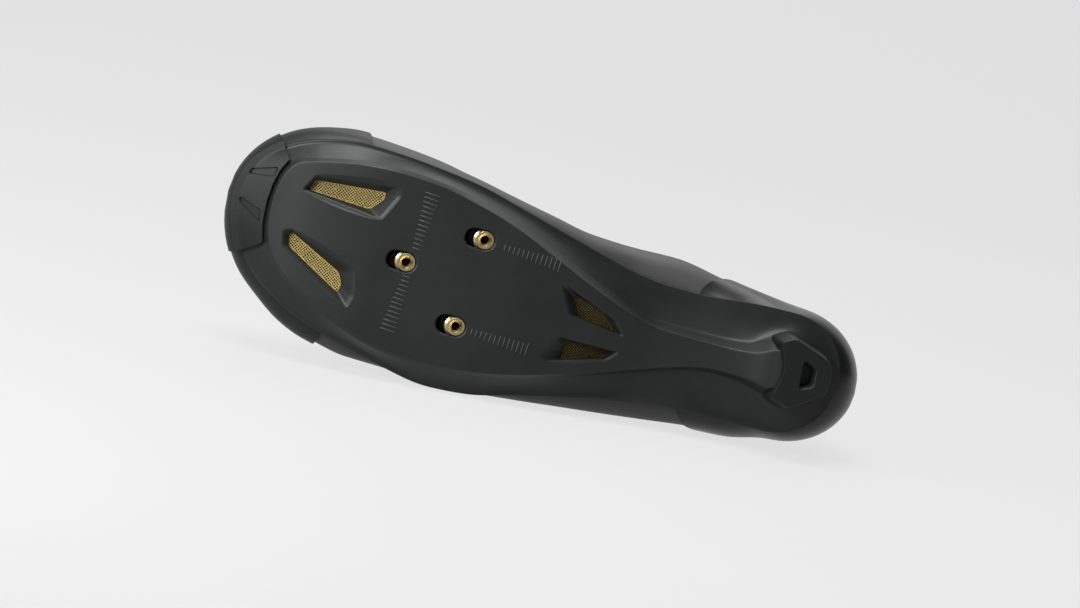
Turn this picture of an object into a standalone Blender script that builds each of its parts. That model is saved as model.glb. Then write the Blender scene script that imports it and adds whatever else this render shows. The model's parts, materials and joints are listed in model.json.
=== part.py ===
"""A right-foot road cycling shoe that lies on its outer side, its toe towards -X and its sole towards -Y.

The shoe is shaped upright: X runs from heel to toe, Y towards the inner side of the foot, and Z up
from the ground under the heel pad. The finished shoe is then laid on the plane that touches the rim
of its sole and the outer side of its upper.
"""

import math
from collections import namedtuple

import bmesh
import bpy
import numpy as np
from mathutils import Matrix, Vector

# Sizes of the sole, in metres
SOLE_LENGTH = 0.2765
SOLE_WIDTH = 0.0928
SOLE_RISE = 0.025
SOLE_BACK = 0.0014
RIM_LIP = 0.0016
LEDGE = 0.0034
BED_SHOULDER = 0.009
HEEL_ROUND = 0.026
TOE_ROUND = 0.048
HEEL_AXIS = -0.007
TOE_AXIS = 0.006
PLATE_BACK = 0.0273
PLATE_FRONT = 0.261
PLATE_ROUND = 0.008
PLATE_BEVEL = 0.0012

# Sizes of the upper
UPPER_LENGTH = 0.290
HEEL_SWELL = 0.0124
UPPER_WIDTH = 0.096
INSTEP_HEIGHT = 0.106
COLLAR_HEIGHT = 0.087
WALL = 0.0022
FOOT_INSET = 0.0012
COLLAR_PAD = 0.005
COLLAR_PAD_DEPTH = 0.022
UPPER_ROUND = 0.030
CAP_ROUND = 0.045
CAP_SLOPE = 0.026
HEEL_LEAN = 0.008
ARCH_FULLNESS = 1.1
THROAT_WIDTH = 0.038
THROAT_FRONT = 0.197
THROAT_ROUND = 0.016

# Sizes of what is laid on or set into them
OVERLAY = 0.0012
BUMPER = 0.0026
COUNTER_REACH = 0.076
COUNTER_HEIGHT = 0.064
COUNTER_SKEW = 0.17
GUARD_BACK = 0.2275
GUARD_HEIGHT = 0.044
INSOLE = 0.0032
INSOLE_MARGIN = 0.0013
TONGUE = 0.0036
TONGUE_OVERLAP = 0.008
TONGUE_FRONT = 0.187
TONGUE_TOP = 0.078
TONGUE_TUCK = 0.100
STRAP = 0.0017
STRAP_WIDTH = 0.023
VENT_DEPTH = 0.004
VENT_MESH = 0.0008
HEEL_PAD_DRAFT = 0.0025
HEEL_PAD_RISE = 0.64
HEEL_RECESS_DEPTH = 0.005

# Cleat fixing: three nuts in slots that let them slide towards the toe
BOLT_STATION = 0.1725
BOLT_RUN = 0.029
BOLT_SPREAD = 0.0388
BOLT_AXIS = -0.0046
NUT_RADIUS = 0.004
NUT_BORE = 0.0021
NUT_FLANGE_RADIUS = 0.0065
NUT_FLANGE = 0.0013
NUT_SINK = 0.0002
SLOT_WIDTH = 0.0083
SLOT_TRAVEL = 0.0047
POCKET_CLEARANCE = 0.0007

# Clearances
GAP = 0.0003
SOFT_GAP = 0.0005
WELD = 0.00004
FAR = 0.2

# How finely the forms are divided
STATIONS = 46
LOWER_LEVELS = 4
UPPER_LEVELS = 8
NUT_SIDES = 24

INNER = 1
OUTER = -1

# Sections of the sole from heel to toe. "at" is a share of SOLE_LENGTH, rim and plate are shares of
# SOLE_WIDTH to the inner and outer side, and the heights and depths are shares of SOLE_RISE.
SoleRow = namedtuple(
    "SoleRow",
    "at rim_in rim_out rise_in rise_out plate_in plate_out plate step_in step_out bed dish",
)
SOLE_ROWS = (
    SoleRow(0.000, 0.210, -0.361, 0.680, 0.680, 0.086, -0.205, 0.080, 0.400, 0.400, 0.690, 0.000),
    SoleRow(0.051, 0.210, -0.362, 0.692, 0.688, 0.086, -0.205, 0.080, 0.400, 0.400, 0.690, 0.000),
    SoleRow(0.098, 0.210, -0.365, 0.732, 0.712, 0.086, -0.205, 0.090, 0.390, 0.390, 0.690, 0.020),
    SoleRow(0.130, 0.208, -0.367, 0.780, 0.720, 0.065, -0.192, 0.180, 0.380, 0.360, 0.690, 0.040),
    SoleRow(0.166, 0.202, -0.371, 0.852, 0.720, 0.017, -0.170, 0.350, 0.340, 0.250, 0.710, 0.040),
    SoleRow(0.210, 0.186, -0.372, 0.920, 0.704, 0.004, -0.166, 0.500, 0.300, 0.180, 0.740, 0.040),
    SoleRow(0.260, 0.172, -0.377, 0.980, 0.688, 0.001, -0.194, 0.560, 0.280, 0.140, 0.780, 0.040),
    SoleRow(0.311, 0.172, -0.394, 1.000, 0.668, 0.002, -0.241, 0.560, 0.280, 0.120, 0.780, 0.040),
    SoleRow(0.365, 0.192, -0.420, 1.000, 0.640, 0.041, -0.294, 0.460, 0.300, 0.120, 0.720, 0.040),
    SoleRow(0.434, 0.240, -0.459, 0.920, 0.600, 0.113, -0.356, 0.280, 0.300, 0.140, 0.580, 0.040),
    SoleRow(0.506, 0.293, -0.506, 0.780, 0.560, 0.199, -0.415, 0.140, 0.280, 0.140, 0.460, 0.040),
    SoleRow(0.579, 0.348, -0.557, 0.620, 0.520, 0.280, -0.458, 0.100, 0.200, 0.120, 0.400, 0.032),
    SoleRow(0.644, 0.394, -0.568, 0.500, 0.480, 0.329, -0.474, 0.100, 0.140, 0.080, 0.380, 0.024),
    SoleRow(0.720, 0.422, -0.531, 0.440, 0.464, 0.366, -0.463, 0.100, 0.088, 0.064, 0.380, 0.016),
    SoleRow(0.774, 0.435, -0.492, 0.432, 0.472, 0.372, -0.429, 0.100, 0.080, 0.060, 0.390, 0.012),
    SoleRow(0.828, 0.440, -0.456, 0.480, 0.528, 0.362, -0.370, 0.188, 0.080, 0.060, 0.460, 0.008),
    SoleRow(0.893, 0.435, -0.420, 0.620, 0.670, 0.323, -0.275, 0.372, 0.080, 0.060, 0.620, 0.000),
    SoleRow(0.944, 0.442, -0.407, 0.780, 0.800, 0.286, -0.172, 0.560, 0.080, 0.060, 0.780, 0.000),
    SoleRow(1.000, 0.458, -0.393, 0.920, 0.920, 0.286, -0.162, 0.720, 0.080, 0.060, 0.900, 0.000),
)

# Sections of the upper from heel to toe. "at" is a share of UPPER_LENGTH, breadths are shares of
# UPPER_WIDTH, and the heights of the widest line and of the ridge are shares of INSTEP_HEIGHT.
UpperRow = namedtuple("UpperRow", "at wide_in wide_out high_in high_out ridge ridge_side")
UPPER_ROWS = (
    UpperRow(0.000, 0.201, -0.378, 0.396, 0.396, 1.066, -0.094),
    UpperRow(0.055, 0.204, -0.379, 0.387, 0.387, 1.066, -0.096),
    UpperRow(0.110, 0.210, -0.385, 0.377, 0.377, 1.066, -0.097),
    UpperRow(0.179, 0.231, -0.425, 0.368, 0.349, 1.057, -0.098),
    UpperRow(0.238, 0.254, -0.433, 0.396, 0.321, 1.057, -0.096),
    UpperRow(0.314, 0.288, -0.456, 0.434, 0.283, 1.047, -0.094),
    UpperRow(0.383, 0.283, -0.478, 0.425, 0.264, 1.000, -0.091),
    UpperRow(0.452, 0.291, -0.498, 0.396, 0.245, 0.887, -0.083),
    UpperRow(0.521, 0.327, -0.518, 0.349, 0.226, 0.783, -0.073),
    UpperRow(0.590, 0.365, -0.531, 0.311, 0.208, 0.689, -0.057),
    UpperRow(0.659, 0.405, -0.531, 0.283, 0.198, 0.604, -0.042),
    UpperRow(0.728, 0.438, -0.524, 0.264, 0.195, 0.540, -0.021),
    UpperRow(0.779, 0.451, -0.521, 0.255, 0.205, 0.510, -0.010),
    UpperRow(0.831, 0.458, -0.492, 0.255, 0.225, 0.485, 0.000),
    UpperRow(0.883, 0.450, -0.454, 0.260, 0.250, 0.465, 0.016),
    UpperRow(0.941, 0.456, -0.417, 0.275, 0.275, 0.450, 0.036),
    UpperRow(1.000, 0.464, -0.422, 0.295, 0.295, 0.435, 0.052),
)

# Top line of the collar: "at" is a share of UPPER_LENGTH and the height a share of COLLAR_HEIGHT.
CollarRow = namedtuple("CollarRow", "at height")
COLLAR_ROWS = (
    CollarRow(0.000, 1.000),
    CollarRow(0.038, 0.994),
    CollarRow(0.079, 0.954),
    CollarRow(0.124, 0.885),
    CollarRow(0.183, 0.822),
    CollarRow(0.238, 0.839),
    CollarRow(0.286, 0.920),
    CollarRow(0.331, 1.057),
    CollarRow(0.372, 1.230),
    CollarRow(0.452, 1.552),
)

# Opening over the instep: "at" is a share of UPPER_LENGTH and the gap a share of THROAT_WIDTH.
ThroatRow = namedtuple("ThroatRow", "at gap")
THROAT_ROWS = (
    ThroatRow(0.000, 1.00),
    ThroatRow(0.372, 1.00),
    ThroatRow(0.452, 0.92),
    ThroatRow(0.555, 0.78),
    ThroatRow(0.631, 0.68),
    ThroatRow(1.000, 0.60),
)

# Corners of each vent at the face of the plate and at its mesh, as shares of SOLE_LENGTH and SOLE_WIDTH.
VentRow = namedtuple("VentRow", "at side mesh_at mesh_side")
VENTS = {
    "vent_mesh_front_inner": (
        VentRow(0.908, 0.160, 0.900, 0.165),
        VentRow(0.895, 0.235, 0.892, 0.216),
        VentRow(0.771, 0.289, 0.786, 0.250),
        VentRow(0.765, 0.253, 0.785, 0.216),
        VentRow(0.784, 0.124, 0.803, 0.153),
    ),
    "vent_mesh_front_outer": (
        VentRow(0.920, -0.048, 0.909, -0.057),
        VentRow(0.915, -0.110, 0.906, -0.108),
        VentRow(0.799, -0.304, 0.816, -0.254),
        VentRow(0.794, -0.246, 0.814, -0.210),
        VentRow(0.803, -0.131, 0.822, -0.162),
        VentRow(0.911, -0.031, 0.904, -0.046),
    ),
    "vent_mesh_rear_inner": (
        VentRow(0.481, 0.075, 0.456, 0.038),
        VentRow(0.381, -0.024, 0.405, 0.000),
        VentRow(0.364, -0.079, 0.376, -0.068),
        VentRow(0.458, -0.052, 0.449, -0.052),
        VentRow(0.485, 0.066, 0.459, 0.034),
    ),
    "vent_mesh_rear_outer": (
        VentRow(0.485, -0.268, 0.453, -0.258),
        VentRow(0.476, -0.290, 0.449, -0.265),
        VentRow(0.380, -0.206, 0.381, -0.198),
        VentRow(0.363, -0.157, 0.376, -0.164),
        VentRow(0.467, -0.165, 0.452, -0.178),
    ),
}

# Plan of the heel pad, its recess and the toe bumper, as shares of SOLE_LENGTH and SOLE_WIDTH.
PlanRow = namedtuple("PlanRow", "at side")
HEEL_PAD_PLAN = (
    PlanRow(0.122, 0.074),
    PlanRow(0.100, 0.114),
    PlanRow(0.045, 0.052),
    PlanRow(0.036, -0.011),
    PlanRow(0.038, -0.119),
    PlanRow(0.088, -0.226),
    PlanRow(0.116, -0.200),
)
HEEL_RECESS_PLAN = (
    PlanRow(0.083, 0.013),
    PlanRow(0.063, -0.011),
    PlanRow(0.061, -0.092),
    PlanRow(0.080, -0.115),
)
BUMPER_PLAN = (
    PlanRow(1.200, 0.900),
    PlanRow(0.966, 0.400),
    PlanRow(0.937, 0.259),
    PlanRow(0.947, 0.000),
    PlanRow(0.947, -0.130),
    PlanRow(0.981, -0.205),
    PlanRow(1.200, -0.600),
)

# Side view of the overlays: shares of the overlay's own reach and height.
SideRow = namedtuple("SideRow", "at height")
COUNTER_PLAN = (
    SideRow(-1.00, -0.20),
    SideRow(1.06, -0.20),
    SideRow(1.03, 0.36),
    SideRow(0.93, 0.52),
    SideRow(0.77, 0.68),
    SideRow(0.60, 0.83),
    SideRow(0.44, 0.93),
    SideRow(0.25, 0.98),
    SideRow(-1.00, 1.00),
)
GUARD_PLAN = (
    SideRow(0.000, -0.20),
    SideRow(0.010, 0.45),
    SideRow(0.040, 0.72),
    SideRow(0.100, 0.88),
    SideRow(0.200, 0.97),
    SideRow(0.320, 1.00),
    SideRow(1.200, 1.00),
    SideRow(1.200, -0.20),
)

# Straps: "at" is a share of UPPER_LENGTH at the ridge, slant a share of STRAP_WIDTH, width likewise,
# and the ends are angles up the side of the instep, in degrees.
StrapRow = namedtuple("StrapRow", "name at slant width end_out end_in")
STRAP_ROWS = (
    StrapRow("strap_front", 0.612, 0.25, 0.95, 34.0, 40.0),
    StrapRow("strap_middle", 0.516, 0.25, 1.00, 32.0, 38.0),
    StrapRow("strap_top", 0.416, 0.10, 1.20, 30.0, 36.0),
)

Finish = namedtuple("Finish", "colour roughness metallic")
FINISHES = {
    "sole_shell": Finish((0.035, 0.036, 0.036), 0.42, 0.0),
    "rubber": Finish((0.020, 0.021, 0.021), 0.62, 0.0),
    "upper_skin": Finish((0.060, 0.060, 0.062), 0.60, 0.0),
    "toe_rubber": Finish((0.075, 0.077, 0.078), 0.50, 0.0),
    "counter_skin": Finish((0.030, 0.030, 0.031), 0.38, 0.0),
    "lining": Finish((0.018, 0.018, 0.019), 0.90, 0.0),
    "brass": Finish((0.60, 0.47, 0.26), 0.30, 1.0),
    "gold_mesh": Finish((0.36, 0.27, 0.09), 0.55, 0.0),
    "strap_web": Finish((0.028, 0.028, 0.029), 0.75, 0.0),
}


class Profile:
    """Smooth curve through the rows of a table, level between rows of one value and never past them."""

    def __init__(self, rows, column, length, scale):
        self.places = np.array([row.at * length for row in rows])
        self.values = np.array([getattr(row, column) * scale for row in rows])
        steps = np.diff(self.values) / np.diff(self.places)
        self.slopes = np.zeros(len(rows))
        self.slopes[0], self.slopes[-1] = steps[0], steps[-1]
        before, after = steps[:-1], steps[1:]
        same_way = before * after > 0
        total = np.where(same_way, before + after, 1.0)
        self.slopes[1:-1] = np.where(same_way, 2.0 * before * after / total, 0.0)

    def __call__(self, place):
        place = min(max(place, self.places[0]), self.places[-1])
        row = min(int(np.searchsorted(self.places, place, side="right")) - 1, len(self.places) - 2)
        run = self.places[row + 1] - self.places[row]
        t = (place - self.places[row]) / run
        low, high = self.values[row], self.values[row + 1]
        return float(
            low * (1.0 + 2.0 * t) * (1.0 - t) ** 2
            + high * t * t * (3.0 - 2.0 * t)
            + run * t * (1.0 - t) * (self.slopes[row] * (1.0 - t) - self.slopes[row + 1] * t)
        )


SOLE = {
    column: Profile(
        SOLE_ROWS,
        column,
        SOLE_LENGTH,
        SOLE_WIDTH if column.startswith(("rim", "plate_")) else SOLE_RISE,
    )
    for column in SoleRow._fields[1:]
}
UPPER = {
    column: Profile(
        UPPER_ROWS,
        column,
        UPPER_LENGTH,
        INSTEP_HEIGHT if column in ("high_in", "high_out", "ridge") else UPPER_WIDTH,
    )
    for column in UpperRow._fields[1:]
}
COLLAR = Profile(COLLAR_ROWS, "height", UPPER_LENGTH, COLLAR_HEIGHT)
THROAT = Profile(THROAT_ROWS, "gap", UPPER_LENGTH, THROAT_WIDTH)
UPPER_BACK = SOLE_BACK - HEEL_SWELL


def mix(low, high, share):
    """The value this share of the way from low to high."""
    return low + (high - low) * share


def quarter(share):
    """Breadth of a rounded end this share of the way in: a quarter ellipse, full from 1 on."""
    share = min(max(share, 0.0), 1.0)
    return math.sqrt(share * (2.0 - share))


def sided(table, name, side, place, fullness=1.0):
    """A column's inner or outer value, drawn to their mean where a form closes at its end."""
    inner = table[name + "_in"](place)
    outer = table[name + "_out"](place)
    mean = (inner + outer) / 2.0
    return mean + ((inner if side == INNER else outer) - mean) * fullness


def station(index, count=STATIONS):
    """Share of the length at a station; the stations crowd towards both ends."""
    even = index / count
    return 0.25 * even + 0.75 * (1.0 - math.cos(math.pi * even)) / 2.0


def rim_point(share, side, inset, lift=0.0):
    """Point on the sole's outline, drawn in by inset and raised by lift."""
    start, end = SOLE_BACK + inset, SOLE_LENGTH - inset
    x = mix(start, end, share)
    fullness = quarter((x - start) / (HEEL_ROUND - inset)) * quarter((end - x) / (TOE_ROUND - inset))
    axis = mix(HEEL_AXIS, TOE_AXIS, share)
    edge = sided(SOLE, "rim", side, x) - side * inset
    return Vector((x, axis + (edge - axis) * fullness, sided(SOLE, "rise", side, x, fullness) + lift))


def plate_place(share):
    """How far along the sole the plate has its point for a share of the rim's length."""
    rim = mix(SOLE_BACK, SOLE_LENGTH, share)
    rear, front = 2.2 * PLATE_BACK, 0.9 * PLATE_FRONT
    return float(
        np.interp(rim, (SOLE_BACK, rear, front, SOLE_LENGTH), (PLATE_BACK, rear, front, PLATE_FRONT))
    )


def plate_point(share, side, inset, raised):
    """Point on the plate's outline: its foot where raised is 1, and its face where raised is 0."""
    x = plate_place(share)
    x = mix(PLATE_BACK + inset, PLATE_FRONT - inset, (x - PLATE_BACK) / (PLATE_FRONT - PLATE_BACK))
    fullness = quarter((x - PLATE_BACK - inset) / PLATE_ROUND) * quarter(
        (PLATE_FRONT - inset - x) / PLATE_ROUND
    )
    axis = mix(HEEL_AXIS, TOE_AXIS, share)
    step = sided(SOLE, "step", side, x, fullness)
    edge = sided(SOLE, "plate", side, x) - side * inset * (1.0 + 0.25 * step / PLATE_BEVEL)
    return Vector((x, axis + (edge - axis) * fullness, SOLE["plate"](x) + raised * step))


def sole_points(share):
    """The closed run of points round the sole at one station: under it from outer to inner, and back over it."""
    under = {}
    for side in (OUTER, INNER):
        lip = rim_point(share, side, RIM_LIP)
        foot = plate_point(share, side, 0.0, 1.0)
        middle = (lip + foot) / 2.0
        middle.z += SOLE["dish"](middle.x)
        under[side] = [rim_point(share, side, 0.0), lip, middle, foot, plate_point(share, side, PLATE_BEVEL, 0.0)]
    face = [mix(under[OUTER][-1], under[INNER][-1], third / 3.0) for third in (1, 2)]
    over = bed_points(share, LEDGE)
    rims = [rim_point(share, side, 0.0, RIM_LIP) for side in (INNER, OUTER)]
    return under[OUTER] + face + under[INNER][::-1] + [rims[0]] + over + [rims[1]]


def bed_points(share, inset, lift=0.0):
    """Points across the top of the sole from the inner ledge to the outer one."""
    ends = {}
    for side in (OUTER, INNER):
        ledge = rim_point(share, side, LEDGE, RIM_LIP)
        shoulder = rim_point(share, side, BED_SHOULDER)
        bed = SOLE["bed"](shoulder.x)
        shoulder.z = mix(bed, shoulder.z + RIM_LIP, 0.8)
        ends[side] = [mix(ledge, shoulder, (inset - LEDGE) / (BED_SHOULDER - LEDGE)), shoulder]
    middle = []
    for part in (0.26, 0.5, 0.74):
        point = mix(ends[INNER][1], ends[OUTER][1], part)
        point.z = mix(point.z, SOLE["bed"](point.x), min(1.0, abs(ends[INNER][1].y - ends[OUTER][1].y) / 0.03))
        middle.append(point)
    raised = Vector((0.0, 0.0, lift))
    return [point + raised for point in ends[INNER] + middle + ends[OUTER][::-1]]


def throat_gap(x):
    """Half the width of the opening over the instep, which closes in a round end at the front."""
    return THROAT(x - UPPER_BACK) / 2.0 * quarter((THROAT_FRONT - x) / THROAT_ROUND)


def edge_angle(x, side):
    """Angle up the arch of the upper where its wall ends, at the collar or at the throat."""
    wide = abs(sided(UPPER, "wide", side, x - UPPER_BACK) - UPPER["ridge_side"](x - UPPER_BACK))
    high = sided(UPPER, "high", side, x - UPPER_BACK)
    rise = UPPER["ridge"](x - UPPER_BACK) - high
    collar = min(max((COLLAR(x - UPPER_BACK) - high) / rise, 0.0), 1.0)
    throat = min(throat_gap(x) / wide, 1.0)
    return min(math.asin(collar**ARCH_FULLNESS), math.acos(throat**ARCH_FULLNESS))


def arch_point(x, side, angle, fullness=1.0, axis=0.0, ridge=None):
    """Point on the outer form of the upper above its widest line, at an angle up its arch."""
    place = x - UPPER_BACK
    wide = sided(UPPER, "wide", side, place)
    high = sided(UPPER, "high", side, place, fullness)
    ridge = UPPER["ridge"](place) if ridge is None else ridge
    ridge_side = UPPER["ridge_side"](place)
    y = mix(ridge_side, wide, max(math.cos(angle), 0.0) ** (1.0 / ARCH_FULLNESS))
    z = mix(high, ridge, math.sin(angle) ** (1.0 / ARCH_FULLNESS))
    return Vector((x, axis + (y - axis) * fullness, z))


def upper_point(share, level, side):
    """Point on the outer form of the upper.

    Level runs from -1 at the sole through 0 at the widest line to 1 at the collar or the throat.
    """
    front = UPPER_BACK + UPPER_LENGTH
    axis = mix(HEEL_AXIS - 0.002, TOE_AXIS - 0.001, share)
    if level <= 0.0:
        turn = (level + 1.0) * math.pi / 2.0
        swell = math.sin(turn)
        lift = 0.35 * (level + 1.0) + 0.65 * (1.0 - math.cos(turn))
        foot = rim_point(share, side, FOOT_INSET, RIM_LIP + 1.5 * GAP)
        start, end = UPPER_BACK, front
        x = mix(start, end, share)
        fullness = quarter((x - start) / UPPER_ROUND) * quarter((end - x) / CAP_ROUND)
        wide = arch_point(x, side, 0.0, fullness, axis)
        return Vector((mix(foot.x, wide.x, swell), mix(foot.y, wide.y, swell), mix(foot.z, wide.z, lift)))
    base = mix(UPPER_BACK, front, share)
    angle = level * edge_angle(base, side)
    high = sided(UPPER, "high", side, 0.0)
    climb = (mix(high, UPPER["ridge"](0.0), math.sin(angle) ** (1.0 / ARCH_FULLNESS)) - high) / (
        COLLAR_HEIGHT - high
    )
    start = UPPER_BACK + HEEL_LEAN * climb**2
    end = front - CAP_SLOPE * (1.0 - math.cos(angle))
    x = mix(start, end, share)
    fullness = quarter((x - start) / UPPER_ROUND) * quarter((end - x) / CAP_ROUND)
    return arch_point(x, side, angle, fullness, axis)


def sheet(patches):
    """One surface made of grids, each (rows, columns, place), whose points are joined where they meet."""
    mesh = bmesh.new()
    for rows, columns, place in patches:
        before = len(mesh.verts)
        bmesh.ops.create_grid(mesh, x_segments=columns - 1, y_segments=rows - 1, size=1.0)
        mesh.verts.ensure_lookup_table()
        for index in range(before, len(mesh.verts)):
            mesh.verts[index].co = place(*divmod(index - before, columns))
    bmesh.ops.remove_doubles(mesh, verts=mesh.verts, dist=WELD)
    bmesh.ops.recalc_face_normals(mesh, faces=mesh.faces)
    return mesh


def face_away(mesh, middle):
    """Turn an open surface so that its faces look away from a point inside it."""
    mesh.normal_update()
    outward = sum((face.calc_center_median() - middle).dot(face.normal) * face.calc_area() for face in mesh.faces)
    if outward < 0.0:
        bmesh.ops.reverse_faces(mesh, faces=mesh.faces)


def swell(mesh, distance):
    """Move every point of a surface outwards."""
    mesh.normal_update()
    moved = [(vertex, vertex.co + vertex.normal * distance) for vertex in mesh.verts]
    for vertex, place in moved:
        vertex.co = place


def prism(points, low, high):
    """Upright block over a plan outline; low and high give the height at each point."""
    mesh = bmesh.new()
    face = mesh.faces.new([mesh.verts.new((x, y, low)) for x, y in points])
    risen = bmesh.ops.extrude_face_region(mesh, geom=[face])["geom"]
    for item in risen:
        if isinstance(item, bmesh.types.BMVert):
            item.co.z = high
    bmesh.ops.recalc_face_normals(mesh, faces=mesh.faces)
    return mesh


def side_prism(rows, reach, height, start, skew):
    """Block that cuts the overlays: a side outline drawn right across the shoe, skewed to the outer side."""
    mesh = bmesh.new()
    corners = [(start + row.at * reach, row.height * height) for row in rows]
    face = mesh.faces.new([mesh.verts.new((x - skew * FAR, -FAR, z)) for x, z in corners])
    crossed = bmesh.ops.extrude_face_region(mesh, geom=[face])["geom"]
    bmesh.ops.translate(
        mesh,
        verts=[item for item in crossed if isinstance(item, bmesh.types.BMVert)],
        vec=(2.0 * skew * FAR, 2.0 * FAR, 0.0),
    )
    bmesh.ops.recalc_face_normals(mesh, faces=mesh.faces)
    return mesh


def plan(rows):
    """A plan outline in metres."""
    return [(row.at * SOLE_LENGTH, row.side * SOLE_WIDTH) for row in rows]


def stadium(x, y, travel, width):
    """Outline of a slot whose round ends are centred travel apart, the first at x, y."""
    turns = [math.pi * (0.5 + step / 8.0) for step in range(9)]
    rear = [(x + width / 2.0 * math.cos(turn), y + width / 2.0 * math.sin(turn)) for turn in turns]
    front = [(x + travel - width / 2.0 * math.cos(turn), y - width / 2.0 * math.sin(turn)) for turn in turns]
    return rear + front


def add(name, mesh, material, location=(0.0, 0.0, 0.0), smooth=True):
    """An object of this mesh with its own material."""
    data = bpy.data.meshes.new(name)
    mesh.to_mesh(data)
    mesh.free()
    piece = bpy.data.objects.new(name, data)
    piece.location = location
    bpy.context.scene.collection.objects.link(piece)
    if material:
        data.materials.append(material_of(name, material))
    if smooth:
        data.shade_smooth()
        data.set_sharp_from_angle(angle=math.radians(35.0))
    return piece


def material_of(name, finish):
    """A plain material in one of the shoe's finishes."""
    material = bpy.data.materials.new(name + "_material")
    material.use_nodes = True
    shader = material.node_tree.nodes["Principled BSDF"]
    shader.inputs["Base Color"].default_value = (*FINISHES[finish].colour, 1.0)
    shader.inputs["Roughness"].default_value = FINISHES[finish].roughness
    shader.inputs["Metallic"].default_value = FINISHES[finish].metallic
    return material


def cutter(name, mesh):
    """A helper that only shapes other pieces."""
    piece = add(name, mesh, None, smooth=False)
    piece.hide_render = True
    piece.display_type = "WIRE"
    return piece


def cut(piece, tool, operation="DIFFERENCE", solver="EXACT"):
    """Cut a piece by a helper, or keep only what lies inside it."""
    modifier = piece.modifiers.new(tool.name, "BOOLEAN")
    modifier.operation = operation
    modifier.solver = solver
    modifier.object = tool


def thicken(piece, thickness, offset):
    """Give a surface its wall."""
    modifier = piece.modifiers.new("wall", "SOLIDIFY")
    modifier.thickness = thickness
    modifier.offset = offset
    modifier.use_even_offset = True
    return modifier


def sole_surface():
    """The closed surface of the sole before anything is cut from it."""
    rows = [sole_points(station(index)) for index in range(STATIONS + 1)]
    columns = len(rows[0])
    return sheet([(STATIONS + 1, columns + 1, lambda row, column: rows[row][column % columns])])


def upper_surface():
    """The outer surface of the upper, from the sole up to the collar and the throat."""
    levels = [level / LOWER_LEVELS - 1.0 for level in range(LOWER_LEVELS)]
    levels += [level / UPPER_LEVELS for level in range(UPPER_LEVELS + 1)]
    mesh = sheet(
        [
            (
                STATIONS + 1,
                len(levels),
                lambda row, column, side=side: upper_point(station(row), levels[column], side),
            )
            for side in (OUTER, INNER)
        ]
    )
    face_away(mesh, Vector((SOLE_LENGTH / 2.0, 0.0, INSTEP_HEIGHT / 3.0)))
    return mesh


def vent_loops(rows):
    """Outlines of a vent from below the plate's face, in past its bevel, and straight up through the sole."""
    loops = []
    for depth, share in ((-0.002, -0.002 / VENT_DEPTH), (VENT_DEPTH, 1.0), (FAR / 4.0, 1.0)):
        loops.append(
            [
                Vector(
                    (
                        mix(row.at, row.mesh_at, share) * SOLE_LENGTH,
                        mix(row.side, row.mesh_side, share) * SOLE_WIDTH,
                        SOLE["plate"](mix(row.at, row.mesh_at, share) * SOLE_LENGTH) + depth,
                    )
                )
                for row in rows
            ]
        )
    return loops


def lofted(loops):
    """Closed solid through outlines of the same number of points."""
    count = len(loops[0])
    mesh = sheet([(len(loops), count + 1, lambda row, column: loops[row][column % count])])
    bmesh.ops.holes_fill(mesh, edges=mesh.edges, sides=0)
    bmesh.ops.triangulate(mesh, faces=mesh.faces)
    bmesh.ops.recalc_face_normals(mesh, faces=mesh.faces)
    return mesh


def shrunk(loop, distance):
    """An outline drawn towards its middle."""
    middle = sum(loop, Vector()) / len(loop)
    return [middle + (point - middle) * (1.0 - distance / (point - middle).length) for point in loop]


def make_outsole():
    """Sole with its cleat plate, its vents and the slots of the cleat nuts."""
    outsole = add("outsole", sole_surface(), "sole_shell")
    for name, rows in VENTS.items():
        loops = vent_loops(rows)
        cut(outsole, cutter(name + "_cut", lofted(loops)))
        seat = [point + Vector((0.0, 0.0, GAP)) for point in shrunk(loops[1], 1.6 * GAP)]
        top = [point + Vector((0.0, 0.0, VENT_MESH)) for point in seat]
        add(name, lofted([seat, top]), "gold_mesh", smooth=False)
    for name, x, y in bolt_places():
        face, shoulder, _ = nut_heights(x)
        cut(
            outsole,
            cutter(name + "_slot", prism(stadium(x, y, SLOT_TRAVEL, SLOT_WIDTH), face - FAR, face + FAR)),
        )
        pocket = 2.0 * (NUT_FLANGE_RADIUS + POCKET_CLEARANCE)
        cut(
            outsole,
            cutter(name + "_pocket", prism(stadium(x, y, SLOT_TRAVEL, pocket), shoulder, face + FAR)),
        )
    return outsole


def bolt_places():
    """The cleat nuts: one in front on the axis and two behind, at the heel ends of their slots."""
    return (
        ("cleat_nut_front", BOLT_STATION + BOLT_RUN, BOLT_AXIS),
        ("cleat_nut_inner", BOLT_STATION, BOLT_AXIS + BOLT_SPREAD / 2.0),
        ("cleat_nut_outer", BOLT_STATION, BOLT_AXIS - BOLT_SPREAD / 2.0),
    )


def nut_heights(x):
    """Heights of the plate's face, of the shoulder under a nut's flange, and of the flange's underside."""
    under = SOLE["bed"](x) - 2.0 * GAP - NUT_FLANGE
    return SOLE["plate"](x), under - GAP, under


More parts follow.
